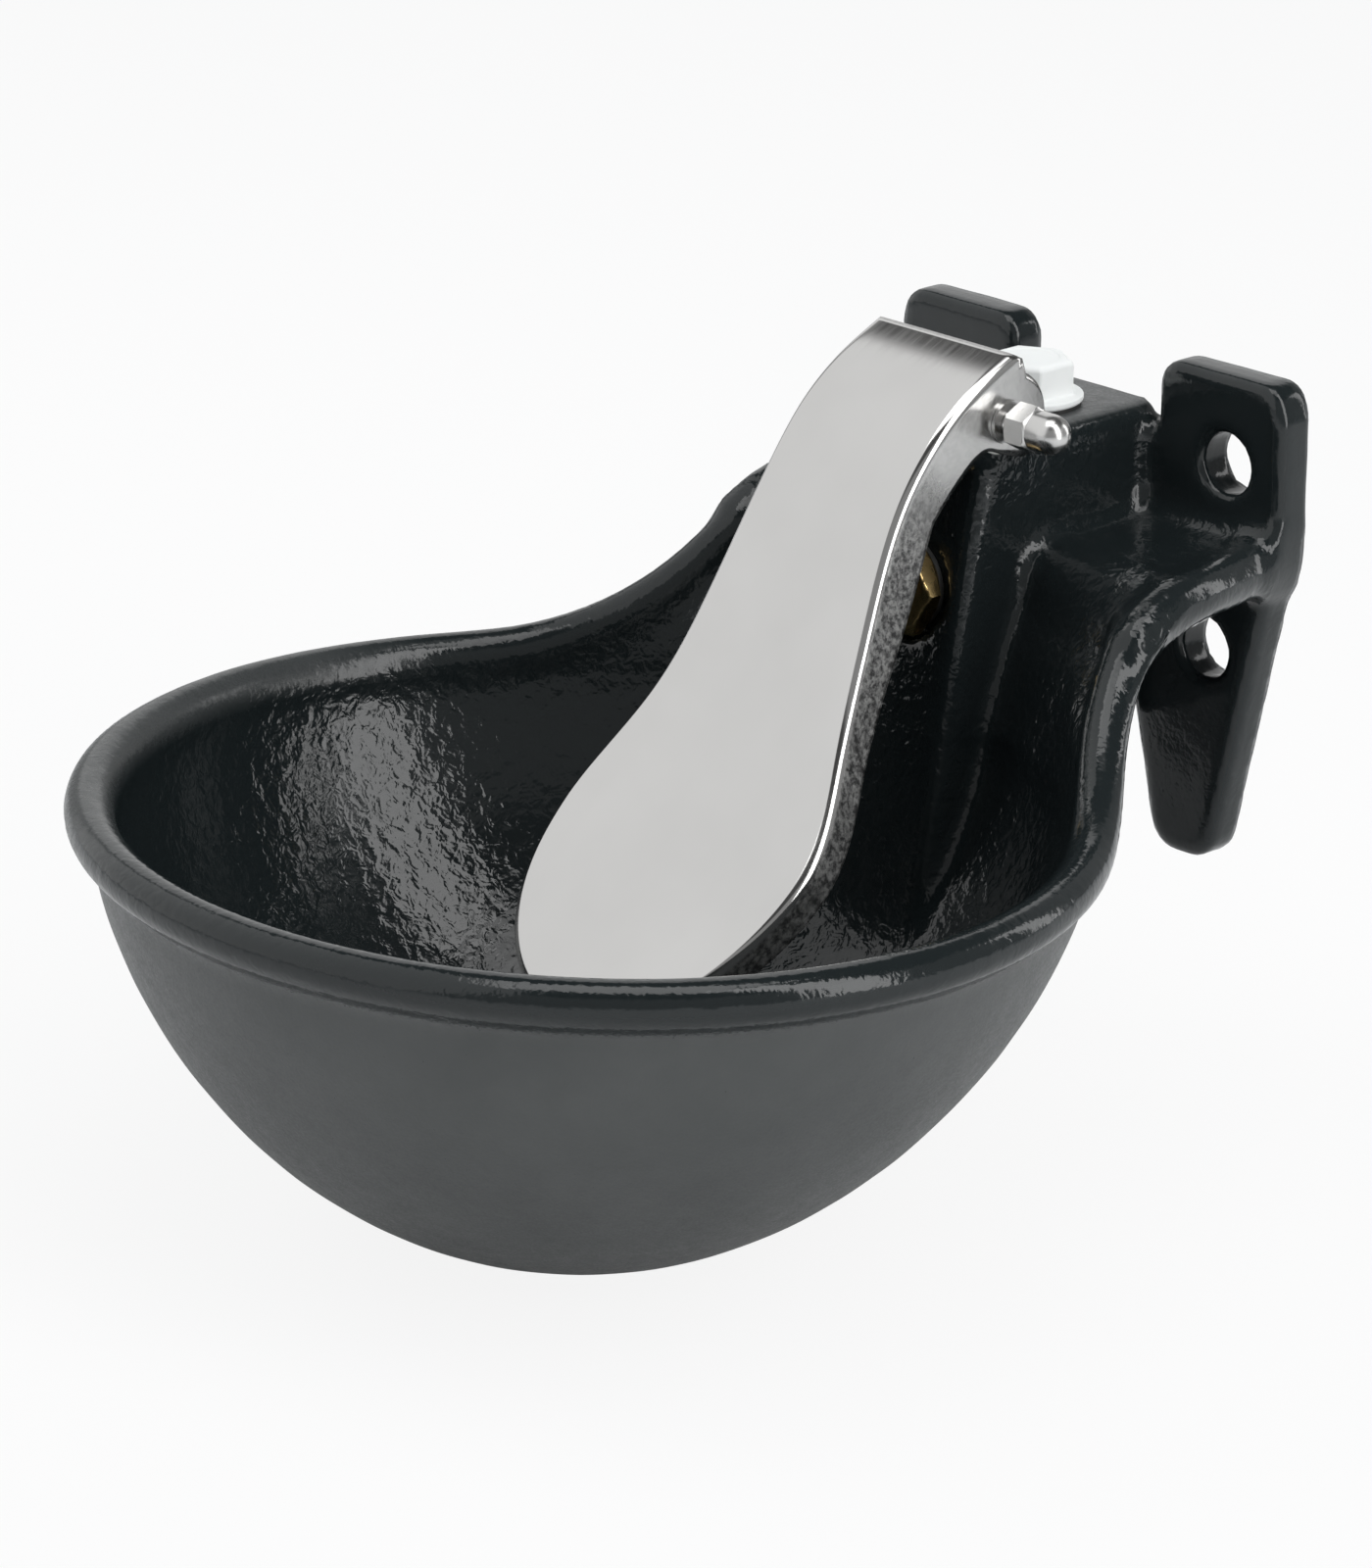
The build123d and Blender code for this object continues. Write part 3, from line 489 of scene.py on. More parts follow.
def casting_skin(x, y, z):
    """Waviness of the sand-cast surface, from -1 to 0: the mean of sines whose phases bend each other."""
    a = np.sin(0.31 * x + 1.7 * np.sin(0.17 * y + 0.6) + 0.9)
    b = np.sin(0.37 * y + 1.9 * np.sin(0.21 * z + 2.1) + 0.13 * x)
    c = np.sin(0.41 * z + 1.3 * np.sin(0.19 * x + 1.1) - 0.11 * y)
    return (a + b + c) / 6 - 0.5


def casting_distance(x, y, z, path, fillet, skin):
    """Distance to the whole casting: bowl wall under the crest, bead, shelf, plate and housing, joined with
    fillets, less the holes, sockets and channel."""
    side = np.abs(x)
    outer = wall_distance(side, y, z, 0.0)
    inner = wall_distance(side, y, z, BOWL_WALL)
    shelf_front = CREST_END_Y + BOWL_WALL / 2
    top = THROAT_TOP + SHELF_SLOPE * np.maximum(y - shelf_front, 0) / (-PLATE_THICKNESS / 2 - shelf_front)
    edge = side - SHELF_BACK_HALF - (SHELF_FRONT_HALF - SHELF_BACK_HALF) * y / CREST_END_Y
    behind = np.clip((y - CREST_END_Y + SHELF_REACH / 2) / 6.0, 0, 1) * np.clip(0.5 - edge / 6.0, 0, 1)
    crest = crest_level(y) + (THROAT_TOP - CREST_END_LEVEL) * behind
    wall = np.maximum(outer, keep(z - crest, -inner, SHELF_LIP))
    bead = tube_distance(side, y, z, path, BEAD_RADIUS)

    shelf = keep(np.maximum(z - top, top - SHELF_THICKNESS - z), -inner, SHELF_LIP)
    shelf = keep(shelf, edge, SHELF_EDGE)
    shelf = np.maximum(shelf, np.maximum(y, CREST_END_Y - SHELF_REACH - y))

    plate = outline_distance(side, z, rounded_outline(PLATE_OUTLINE))
    holes = [
        np.maximum(
            np.sqrt((side - hole_x) ** 2 + (z - hole_z) ** 2) - MOUNT_HOLE_RADIUS,
            -2 * PLATE_THICKNESS - y,
        )
        for hole_x, hole_z in MOUNT_HOLES
    ]
    plate = keep(plate, -PLATE_THICKNESS - y, PLATE_EDGE)
    plate = keep(plate, y, PLATE_BACK_EDGE)

    housing = outline_distance(y, z, np.array(HOUSING_PROFILE))
    boss = np.sqrt((y - PIVOT_Y) ** 2 + (z - PIVOT_LEVEL) ** 2) - PIVOT_BOSS_RADIUS
    housing = join(housing, boss, PIVOT_BOSS_FILLET)
    housing = keep(housing, side - HOUSING_HALF_WIDTH, HOUSING_EDGE)
    column = np.sqrt(x**2 + (y - COLUMN_Y) ** 2) - COLUMN_RADIUS
    column = keep(column, np.maximum(COLUMN_BOTTOM - z, z - THROAT_TOP), COLUMN_EDGE)
    seat = np.sqrt(x**2 + (z - VALVE_LEVEL) ** 2) - SPOT_FACE_RADIUS
    seat_boss = keep(seat, np.maximum(SPOT_FACE_Y - y, y - SPOT_FACE_ROOT_Y), 1.0)

    solid = join(wall, bead, fillet)
    solid = join(solid, shelf, fillet + 2.0)
    solid = join(solid, plate, fillet + 2.0)
    solid = join(solid, housing, fillet)
    solid = join(solid, column, fillet)
    solid = join(solid, seat_boss, SPOT_FACE_FILLET)
    for hole in holes:
        solid = keep(solid, -hole, MOUNT_HOLE_EDGE)
    solid = keep(solid, FOOT_LEVEL - z, FOOT_EDGE)
    solid = np.maximum(solid, y)
    pocket = np.maximum(seat, y - SPOT_FACE_Y)
    valve_bore = np.sqrt(x**2 + (z - VALVE_LEVEL) ** 2) - SOCKET_RADIUS
    valve_bore = np.maximum(valve_bore, np.maximum(y - VALVE_BORE_END, VALVE_BORE_FRONT - y))
    around = np.sqrt(x**2 + (y - COLUMN_Y) ** 2)
    channel = np.maximum(around - CHANNEL_RADIUS, np.maximum(z - PLATFORM_LEVEL - 1, COLUMN_BOTTOM - 1 - z))
    upper = np.maximum(around - SOCKET_RADIUS, PLATFORM_LEVEL - SOCKET_DEPTH - z)
    lower = np.maximum(around - SOCKET_RADIUS, z - COLUMN_BOTTOM - SOCKET_DEPTH)
    bore = np.sqrt((y - PIVOT_Y) ** 2 + (z - PIVOT_LEVEL) ** 2) - PIVOT_BORE_RADIUS
    for hollow in (pocket, valve_bore, channel, upper, lower, bore):
        solid = np.maximum(solid, -hollow)
    calm = np.clip(1.5 - np.abs(bead), 0, 1) * 0.7
    return solid - skin * (1 - calm) * casting_skin(x, y, z)


def surface_net(field, low, step):
    """Mesh of a field's zero surface: one vertex in each crossed cell, at the mean of its edge crossings, and
    one quad round each crossed edge of the grid, facing the positive side."""
    corners = np.array([(i, j, k) for i in (0, 1) for j in (0, 1) for k in (0, 1)])
    edges = [(a, b) for a in range(8) for b in range(a + 1, 8) if np.abs(corners[a] - corners[b]).sum() == 1]
    first, last = np.array(edges).T
    inside = field < 0
    size = np.array(field.shape) - 1
    count = sum(
        inside[i : size[0] + i, j : size[1] + j, k : size[2] + k].astype(np.int8)
        for i, j, k in corners.tolist()
    )
    crossed_cells = (count > 0) & (count < 8)
    index = np.full(crossed_cells.shape, -1)
    base = np.argwhere(crossed_cells)
    index[crossed_cells] = np.arange(len(base))
    values = np.stack([field[tuple((base + corner).T)] for corner in corners], axis=1)
    start, end = values[:, first], values[:, last]
    crossed = (start < 0) != (end < 0)
    share = np.where(crossed, start / np.where(crossed, start - end, 1.0), 0.0)[..., None]
    points = corners[first] + share * (corners[last] - corners[first])
    mean = (points * crossed[..., None]).sum(axis=1) / crossed.sum(axis=1)[:, None]
    quads = []
    for axis in range(3):
        order = (axis, (axis + 1) % 3, (axis + 2) % 3)
        turned = np.transpose(inside, order)
        cells = np.transpose(index, order)
        lower, upper = turned[:-1, 1:-1, 1:-1], turned[1:, 1:-1, 1:-1]
        i, j, k = np.nonzero(lower != upper)
        ring = [cells[i, j, k], cells[i, j + 1, k], cells[i, j + 1, k + 1], cells[i, j, k + 1]]
        ring = np.stack(ring, axis=1)
        away = ~lower[i, j, k]
        ring[away] = ring[away][:, ::-1]
        quads.append(ring)
    return np.array(low) + step * (base + mean), np.concatenate(quads)


def put_mesh(name, points, faces, smooth=True):
    """A mesh object from arrays of points, in millimetres, and of faces with equally many corners."""
    mesh = bpy.data.meshes.new(name)
    faces = np.asarray(faces, np.int32)
    mesh.vertices.add(len(points))
    mesh.vertices.foreach_set("co", (np.asarray(points) * MM).astype(np.float32).ravel())
    mesh.loops.add(faces.size)
    mesh.loops.foreach_set("vertex_index", faces.ravel())
    mesh.polygons.add(len(faces))
    mesh.polygons.foreach_set("loop_start", np.arange(0, faces.size, faces.shape[1], dtype=np.int32))
    mesh.polygons.foreach_set("use_smooth", np.full(len(faces), smooth))
    mesh.update(calc_edges=True)
    mesh.validate()
    thing = bpy.data.objects.new(name, mesh)
    bpy.context.scene.collection.objects.link(thing)
    return thing


def weld(thing, distance=0.02):
    """Closes the seams and poles of a mesh by merging its doubles."""
    shape = bmesh.new()
    shape.from_mesh(thing.data)
    bmesh.ops.remove_doubles(shape, verts=shape.verts, dist=distance * MM)
    bmesh.ops.dissolve_degenerate(shape, dist=1e-7, edges=shape.edges)
    bmesh.ops.recalc_face_normals(shape, faces=shape.faces)
    shape.to_mesh(thing.data)
    shape.free()
    thing.data.update()


def grid_faces(rows, columns, closed=False):
    """Quads of a grid whose points run along a row first; closed joins the last column to the first."""
    i = np.arange(rows - 1)[:, None]
    j = np.arange(columns if closed else columns - 1)[None]
    beside = (j + 1) % columns
    faces = np.stack(
        [i * columns + j, i * columns + beside, (i + 1) * columns + beside, (i + 1) * columns + j], axis=-1
    )
    return faces.reshape(-1, 4)


def dress(thing, body, material, replaced=()):
    """Puts a finished piece on its body with its finish, in place of the nodes it stands for."""
    thing.data.materials.clear()
    thing.data.materials.append(material)
    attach(thing, body)
    if replaced:
        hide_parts(*replaced)
    return thing


def wired(tree, kind, inputs=(), **settings):
    """A new node with its settings; each input is a value or the socket that is linked to it."""
    made = tree.nodes.new(kind)
    for key, value in settings.items():
        setattr(made, key, value)
    for key, value in dict(inputs).items():
        if isinstance(value, bpy.types.NodeSocket):
            tree.links.new(value, made.inputs[key])
        else:
            made.inputs[key].default_value = value
    return made


class Finish:
    """A node material that is put together socket by socket."""

    def __init__(self, name):
        self.material = bpy.data.materials.new(name)
        self.material.use_nodes = True
        self.tree = self.material.node_tree
        self.shader = self.tree.nodes["Principled BSDF"]
        self.place = self.tree.nodes.new("ShaderNodeTexCoord").outputs["Object"]

    def node(self, kind, inputs=(), **settings):
        return wired(self.tree, kind, inputs, **settings)

    def stretched(self, scale):
        return self.node("ShaderNodeMapping", {"Vector": self.place, "Scale": scale}).outputs["Vector"]

    def noise(self, scale, detail=3.0, roughness=0.5, distortion=0.0, vector=None):
        inputs = {"Vector": vector or self.place, "Scale": scale, "Detail": detail}
        inputs |= {"Roughness": roughness, "Distortion": distortion}
        return self.node("ShaderNodeTexNoise", inputs).outputs["Fac"]

    def graded(self, value, low, high, start=0.0, end=1.0):
        inputs = {"Value": value, "From Min": start, "From Max": end, "To Min": low, "To Max": high}
        return self.node("ShaderNodeMapRange", inputs).outputs["Result"]

    def maths(self, operation, a, b):
        return self.node("ShaderNodeMath", {0: a, 1: b}, operation=operation).outputs[0]

    def mixed(self, share, a, b):
        mix = self.node("ShaderNodeMix", {0: share, 6: a, 7: b}, data_type="RGBA")
        return mix.outputs[2]

    def bump(self, height, distance, strength=1.0, normal=None):
        inputs = {"Height": height, "Distance": distance * MM, "Strength": strength}
        if normal is not None:
            inputs["Normal"] = normal
        return self.node("ShaderNodeBump", inputs).outputs["Normal"]

    def set(self, **sockets):
        names = {"Color": "Base Color", "Subsurface": "Subsurface Weight"}
        for key, value in sockets.items():
            socket = self.shader.inputs[names.get(key, key)]
            if isinstance(value, bpy.types.NodeSocket):
                self.tree.links.new(value, socket)
            else:
                socket.default_value = value
        return self.material


def enamel_finish(colours):
    """Black enamel over rough cast iron: glossy and lumpy inside, duller and smoother on the outer wall."""
    f = Finish("black_enamel")
    lumpy = f.node("ShaderNodeAttribute", attribute_name="lumpy").outputs["Fac"]
    dull_and_painted_light = f.node("ShaderNodeAttribute", attribute_name="dull_and_painted_light").outputs["Fac"]
    cloud = f.noise(38.0, 3.0, 0.6)
    lumps = f.noise(300.0, 2.0, 0.55, 0.4)
    pits = f.noise(800.0, 2.0, 0.5)
    grain = f.noise(1700.0, 2.0)
    black = (*colours.enamel, 1.0)
    grey = (*colours.dull_enamel_and_painted_light, 1.0)
    # Where the share is up on the housing's top, the grey is painted light: a lighter top face
    share = f.maths("MULTIPLY", dull_and_painted_light, f.graded(cloud, 0.8, 1.05, 0.3, 0.7))
    rough = f.graded(lumps, 0.07, 0.15, 0.3, 0.7)
    rough = f.maths("ADD", rough, f.maths("MULTIPLY", dull_and_painted_light, f.graded(grain, 0.2, 0.36, 0.3, 0.7)))
    height = f.maths("ADD", f.maths("MULTIPLY", lumps, lumpy), f.maths("MULTIPLY", pits, 0.12))
    normal = f.bump(height, 0.36)
    normal = f.bump(f.maths("MULTIPLY", grain, dull_and_painted_light), 0.03, 0.6, normal)
    return f.set(Color=f.mixed(share, black, grey), Roughness=rough, Normal=normal, IOR=1.5)


def steel_finish(name, colour, roughness, brushed):
    """Stainless steel: faint polishing lines along the piece, cloudy roughness and a soft ripple; where the
    attribute raw is 1, the speckled sheet as it left the press."""
    f = Finish(name)
    raw = f.node("ShaderNodeAttribute", attribute_name="raw").outputs["Fac"]
    lines = f.noise(60.0, 4.0, 0.7, 0.0, f.stretched((14.0, 0.5, 0.5)))
    cloud = f.noise(30.0, 3.0)
    speckle = f.noise(560.0, 4.0, 0.75)
    tint = f.mixed(f.graded(cloud, 0.0, 1.0, 0.3, 0.7), (*[0.94 * c for c in colour], 1), (*colour, 1))
    worn = f.mixed(f.graded(speckle, 0.0, 1.0, 0.4, 0.6), (0.16, 0.16, 0.16, 1), (0.52, 0.52, 0.51, 1))
    rough = f.graded(lines, roughness, roughness + 0.06, 0.35, 0.65)
    rough = f.maths("ADD", rough, f.graded(cloud, 0.0, 0.04))
    rough = f.maths("ADD", rough, f.maths("MULTIPLY", raw, f.graded(speckle, 0.3, 0.5, 0.35, 0.65)))
    normal = f.bump(lines, 0.004 * brushed, 0.6)
    normal = f.bump(f.noise(22.0, 1.0), 0.12 * brushed, 0.5, normal)
    normal = f.bump(f.maths("MULTIPLY", speckle, raw), 0.12, 1.0, normal)
    return f.set(Color=f.mixed(raw, tint, worn), Metallic=1.0, Roughness=rough, Normal=normal)


def brass_finish(colours):
    """Turned brass: fine rings round the Y axis, a little tarnish."""
    f = Finish("turned_brass")
    tarnish = f.noise(90.0, 4.0, 0.6)
    rings = f.noise(2600.0, 1.0, 0.5, 0.0, f.stretched((0.05, 1.0, 0.05)))
    dark = (*[0.6 * c for c in colours.brass], 1.0)
    tint = f.mixed(f.graded(tarnish, 0.0, 0.7, 0.35, 0.75), (*colours.brass, 1.0), dark)
    rough = f.graded(tarnish, 0.16, 0.34, 0.3, 0.7)
    return f.set(Color=tint, Metallic=1.0, Roughness=rough, Normal=f.bump(rings, 0.01, 0.7))


def plastic_finish(name, colour, roughness=0.42):
    """Moulded plastic: matte speckle in the colour, satin roughness and a faint moulded grain."""
    f = Finish(name)
    cloud = f.noise(70.0, 3.0)
    grain = f.noise(1500.0, 2.0)
    tint = f.mixed(f.graded(cloud, 0.0, 1.0, 0.3, 0.7), (*[0.93 * c for c in colour], 1), (*colour, 1))
    rough = f.graded(grain, roughness - 0.06, roughness + 0.08, 0.3, 0.7)
    return f.set(Color=tint, Roughness=rough, Normal=f.bump(grain, 0.02, 0.5), Subsurface=0.05)


def rubber_finish():
    """Black rubber of the seals: matte, with a dusty cloud."""
    f = Finish("black_rubber")
    cloud = f.noise(120.0, 3.0)
    tint = f.mixed(f.graded(cloud, 0.0, 1.0, 0.35, 0.7), (0.02, 0.02, 0.02, 1), (0.05, 0.05, 0.048, 1))
    rough = f.graded(cloud, 0.6, 0.8, 0.3, 0.7)
    return f.set(Color=tint, Roughness=rough, Normal=f.bump(f.noise(1800.0, 2.0), 0.02, 0.6))


def finish(slot):
    """The finish of a material slot, made the first time that it is asked for."""
    colours = bpy.context.scene.bowl_colours
    steel, plastic = tuple(colours.steel), tuple(colours.plastic)
    name, make, values = {
        "enamelled_iron": ("black_enamel", enamel_finish, (colours,)),
        "polished_stainless": ("polished_steel", steel_finish, ("polished_steel", steel, 0.07, 1.0)),
        "fastener_steel": ("satin_steel", steel_finish, ("satin_steel", steel, 0.2, 0.6)),
        "spring_steel": ("spring_wire", steel_finish, ("spring_wire", (0.5, 0.5, 0.49), 0.25, 0.3)),
        "brass": ("turned_brass", brass_finish, (colours,)),
        "white_plastic": ("white_plastic", plastic_finish, ("white_plastic", plastic)),
        "bush_plastic": ("bush_plastic", plastic_finish, ("bush_plastic", (0.72, 0.72, 0.67), 0.35)),
        "rubber": ("black_rubber", rubber_finish, ()),
    }[slot]
    return bpy.data.materials.get(name) or make(*values)


class BOWL_OT_casting(Operator):
    """Works out the enamelled casting as one surface with fillets"""

    bl_idname = "bowl.casting"
    bl_label = "Casting"

    def execute(self, context):
        sizes = context.scene.bowl_sizes
        step = sizes.cell / MM
        fillet = sizes.fillet / MM
        skin = sizes.skin / MM
        path = bead_path()
        low = np.array(GRID_LOW)
        high = np.array(GRID_HIGH)
        counts = np.ceil((high - low) / step).astype(int) + 1
        x = (low[0] + step * np.arange(counts[0]))[:, None, None]
        y = (low[1] + step * np.arange(counts[1]))[None, :, None]
        z = (low[2] + step * np.arange(counts[2]))[None, None, :]
        slabs = [casting_distance(part, y, z, path, fillet, skin) for part in np.array_split(x, 8)]
        points, faces = surface_net(np.concatenate(slabs), low, step)
        # Each point moves onto the surface in three steps of the value over the slope squared, down the slope
        for _ in range(3):
            x, y, z = points.T
            value = casting_distance(x, y, z, path, fillet, skin)
            reach = 0.2
            ahead = [
                casting_distance(x + dx, y + dy, z + dz, path, fillet, skin)
                for dx, dy, dz in ((reach, 0, 0), (0, reach, 0), (0, 0, reach))
            ]
            slope = (np.stack(ahead, axis=1) - value[:, None]) / reach
            steep = np.maximum((slope**2).sum(axis=1), 0.25)
            move = np.clip(value / steep, -0.4 * step, 0.4 * step)
            points = points - move[:, None] * slope
        points[:, 1] = np.minimum(points[:, 1], 0.0)
        casting = put_mesh("casting", points, faces)
        # Shares from 0 to 1 by place: dull on the outer wall and the worn stretch of the bead, and painted
        # light on the housing's top, whose face is lightened with the same grey; lumpy everywhere, but hardly
        # on the outer wall and less on the bead and the plate
        x, y, z = points.T
        outer = np.abs(wall_distance(np.abs(x), y, z, 0.0))
        bead = tube_distance(np.abs(x), y, z, path, BEAD_RADIUS)
        on_outer = np.clip(1.6 - outer, 0, 1) * np.clip((bead - 0.5) / 1.5, 0, 1)
        on_outer = on_outer * np.clip((-55 - z) / 10, 0, 1)
        on_bead = np.clip(1.4 - bead, 0, 1)
        worn = 0.6 * on_bead * np.clip((-30.0 - x) / 40.0, 0, 1) * np.clip((-125.0 - y) / 30.0, 0, 1)
        on_plate = np.clip((y + PLATE_THICKNESS + 2.0) / 2.0, 0, 1)
        # Painted light: the housing's top gets the outer wall's grey, so that the top face looks lighter
        painted_light_on_platform = np.clip(2.0 - 2 * np.abs(z - PLATFORM_LEVEL), 0, 1) * np.clip(24.0 - np.abs(x), 0, 1)
        painted_light_on_platform = painted_light_on_platform * np.clip(y - COLUMN_Y + COLUMN_RADIUS, 0, 1)
        for name, values in {
            "dull_and_painted_light": np.maximum(np.maximum(on_outer, painted_light_on_platform), worn),
            "lumpy": np.clip(1.0 - 0.85 * on_outer - 0.55 * on_bead - 0.8 * on_plate, 0.1, 1),
        }.items():
            layer = casting.data.attributes.new(name, "FLOAT", "POINT")
            layer.data.foreach_set("value", values.astype(np.float32))
        dress(casting, "bowl", finish("enamelled_iron"), ["bowl_casting"])
        return {"FINISHED"}


def press_frame(points):
    """Side view (y, z) to press coordinates: t down the blade and n along the press direction."""
    y, z = np.asarray(points, float).T
    tilt = radians(PRESS_TILT)
    return np.stack([-y * sin(tilt) - z * cos(tilt), y * cos(tilt) - z * sin(tilt)], axis=1)


def side_view(t, n):
    """Press coordinates back to y and z."""
    tilt = radians(PRESS_TILT)
    return n * cos(tilt) - t * sin(tilt), -t * cos(tilt) - n * sin(tilt)


def blade_edge(t):
    """Half width of the blade at t: a straight neck, a cubic flare, then a quarter ellipse to the tip."""
    flare = smooth_path(
        [
            (NECK_END - NECK_LEAD, NECK_HALF_WIDTH),
            (NECK_END, NECK_HALF_WIDTH),
            *[(along, NECK_HALF_WIDTH + spread) for along, spread in BLADE_FLANK],
            (BLADE_WIDEST, BLADE_HALF_WIDTH),
            (BLADE_WIDEST + FLARE_LEAD, BLADE_HALF_WIDTH - FLARE_DROP),
        ],
        200,
    )
    width = np.interp(t, flare[:, 0], flare[:, 1])
    turn = np.clip((t - BLADE_WIDEST) / (BLADE_END - BLADE_WIDEST), 0, 1)
    tip = BLADE_HALF_WIDTH * np.sqrt(1 - turn**2)
    return np.where(t > BLADE_WIDEST, tip, np.minimum(width, BLADE_HALF_WIDTH))


class BOWL_OT_tongue(Operator):
    """Works out the pressed tongue: face, bend, flanges and lugs of one sheet"""

    bl_idname = "bowl.tongue"
    bl_label = "Tongue"

    def execute(self, context):
        # Inwards from the edge line by the bend's radius lies the face, at shares of 0 to 1 of that width.
        # The bend is a quarter circle: radius * sin(turn) outwards and radius * (1 - cos(turn)) deep. The
        # flange is the straight blend from the bend to the rear edge, which starts as the lug's heel line.
        face = press_frame(smooth_path(TONGUE_FACE, 300))
        rear = press_frame(smooth_path(TONGUE_REAR, 200))
        top = face[0, 0]
        straight = np.linspace(top, BLADE_WIDEST, 110)
        turn = np.linspace(0, pi / 2, 60)[1:]
        edge_t = np.concatenate([straight, BLADE_WIDEST + (BLADE_END - BLADE_WIDEST) * np.sin(turn)])
        edge_x = np.concatenate([blade_edge(straight), BLADE_HALF_WIDTH * np.cos(turn)])
        along = np.gradient(np.stack([edge_t, edge_x], axis=1), axis=0)
        along = along / np.linalg.norm(along, axis=1)[:, None]
        out_t, out_x = -along[:, 1], along[:, 0]
        rows = len(edge_t)

        def lifted(t, x, depth):
            """Points at t and x on the face's curve, moved back by depth along the press direction."""
            height = np.interp(t, face[:, 0], face[:, 1]) + depth
            y, z = side_view(t, height)
            return np.stack([x, y, z], axis=-1)

        inner_t = edge_t - BEND_RADIUS * out_t
        inner_x = edge_x - BEND_RADIUS * out_x
        share = np.linspace(0, 1, 16)[None]
        face_t = inner_t[:, None] * np.ones_like(share)
        face_x = share * inner_x[:, None]
        bend = np.linspace(0, pi / 2, 8)[None, 1:]
        bend_t = inner_t[:, None] + BEND_RADIUS * np.sin(bend) * out_t[:, None]
        bend_x = inner_x[:, None] + BEND_RADIUS * np.sin(bend) * out_x[:, None]
        bend_depth = BEND_RADIUS * (1 - np.cos(bend)) * np.ones((rows, 1))
        front = [lifted(face_t, face_x, 0 * face_t), lifted(bend_t, bend_x, bend_depth)]
        front = np.concatenate(front, axis=1)

        upper = np.count_nonzero(edge_t < rear[0, 0])
        pivot = np.array((PIVOT_Y, PIVOT_LEVEL))
        up_turn = np.radians(np.linspace(0, LUG_BACK_ANGLE, 12))
        down_turn = np.radians(np.linspace(0, LUG_HEEL_ANGLE, 8))
        back = pivot + LUG_RADIUS * np.stack([np.cos(up_turn), np.sin(up_turn)], axis=1)
        heel = pivot + LUG_RADIUS * np.stack([np.cos(down_turn), np.sin(down_turn)], axis=1)
        heel = smooth_path(np.concatenate([heel, LUG_HEEL]), 400)
        heel_line = heel[np.linspace(0, 399, len(back) + upper + 1).astype(int)][: len(back) + upper]
        rear_line = np.stack(
            side_view(edge_t[upper:], np.interp(edge_t[upper:], rear[:, 0], rear[:, 1])), axis=1
        )
        rear_edge = np.concatenate([heel_line, rear_line])
        rear_x = np.concatenate([np.full(len(back) + upper, NECK_HALF_WIDTH), edge_x[upper:]])
        rear_points = np.stack([rear_x, rear_edge[:, 0], rear_edge[:, 1]], axis=1)
        back_points = np.stack([np.full(len(back), NECK_HALF_WIDTH), back[:, 0], back[:, 1]], axis=1)
        flange_start = np.concatenate([back_points, front[:, -1]])
        share = np.linspace(0, 1, 12)[None, :, None]
        flange = flange_start[:, None] * (1 - share) + rear_points[:, None] * share

        points, faces, base = [], [], 0
        for grid in (front, flange):
            for sign in (1, -1):
                sheet = grid.reshape(-1, 3) * (sign, 1, 1)
                quads = grid_faces(grid.shape[0], grid.shape[1]) + base
                points.append(sheet)
                faces.append(quads[:, ::-1] if sign < 0 else quads)
                base += len(sheet)
        tongue = put_mesh("tongue_sheet", np.concatenate(points), np.concatenate(faces))
        weld(tongue, 0.03)
        up = sum(f.normal.z * f.area for f in tongue.data.polygons if abs(f.center.x) < 0.015)
        if up < 0:
            tongue.data.flip_normals()
        places = np.empty(3 * len(tongue.data.vertices), np.float32)
        tongue.data.vertices.foreach_get("co", places)
        y, z = places.reshape(-1, 3).T[1:] / MM
        t, n = press_frame(np.stack([y, z], axis=1)).T
        depth = n - np.interp(t, face[:, 0], face[:, 1])
        from_pivot = np.hypot(y - PIVOT_Y, z - PIVOT_LEVEL)
        raw = np.clip((depth - BEND_RADIUS + 0.6) / 0.8, 0, 1)
        raw = raw * (0.25 + 0.75 * np.clip((from_pivot - 22) / 18, 0, 1))
        layer = tongue.data.attributes.new("raw", "FLOAT", "POINT")
        layer.data.foreach_set("value", raw.astype(np.float32))
        wall = tongue.modifiers.new("sheet", "SOLIDIFY")
        wall.thickness = SHEET * MM
        wall.offset = -1.0
        dress(tongue, "tongue", finish("polished_stainless"), ["drinking_tongue"])
        return {"FINISHED"}


def hexagon(angle, flats):
    """Radius of a hexagon at an angle: half its flats over the cosine of the angle to the nearest flat."""
    return flats / 2 / np.cos((angle + pi / 6) % (pi / 3) - pi / 6)


def turned_piece(name, stations, radii, origin, axis, segments=96, limit=None):
    """A turned surface: stations along an axis, a radius at each, or the hexagon in limit where that is less.

    stations and radii are one profile; limit is None or an array of flats by station, 0 where it stays round.
    """
    angle = np.linspace(0, 2 * pi, segments, endpoint=False)[None]
    radius = np.asarray(radii, float)[:, None] * np.ones_like(angle)
    if limit is not None:
        flats = np.asarray(limit, float)[:, None]
        radius = np.where(flats > 0, np.minimum(radius, hexagon(angle, flats)), radius)
    first = {"x": (0, 1, 0), "y": (0, 0, 1), "z": (1, 0, 0)}[axis.strip("-")]
    second = {"x": (0, 0, 1), "y": (1, 0, 0), "z": (0, 1, 0)}[axis.strip("-")]
    along = np.cross(first, second) * (-1 if axis.startswith("-") else 1)
    centre = np.asarray(origin, float) + np.asarray(stations, float)[:, None, None] * along
    round_it = np.cos(angle)[..., None] * np.array(first) + np.sin(angle)[..., None] * np.array(second)
    points = centre + radius[..., None] * round_it
    piece = put_mesh(name, points.reshape(-1, 3), grid_faces(len(stations), segments, closed=True))
    weld(piece)
    piece.data.set_sharp_from_angle(angle=radians(32))
    return piece


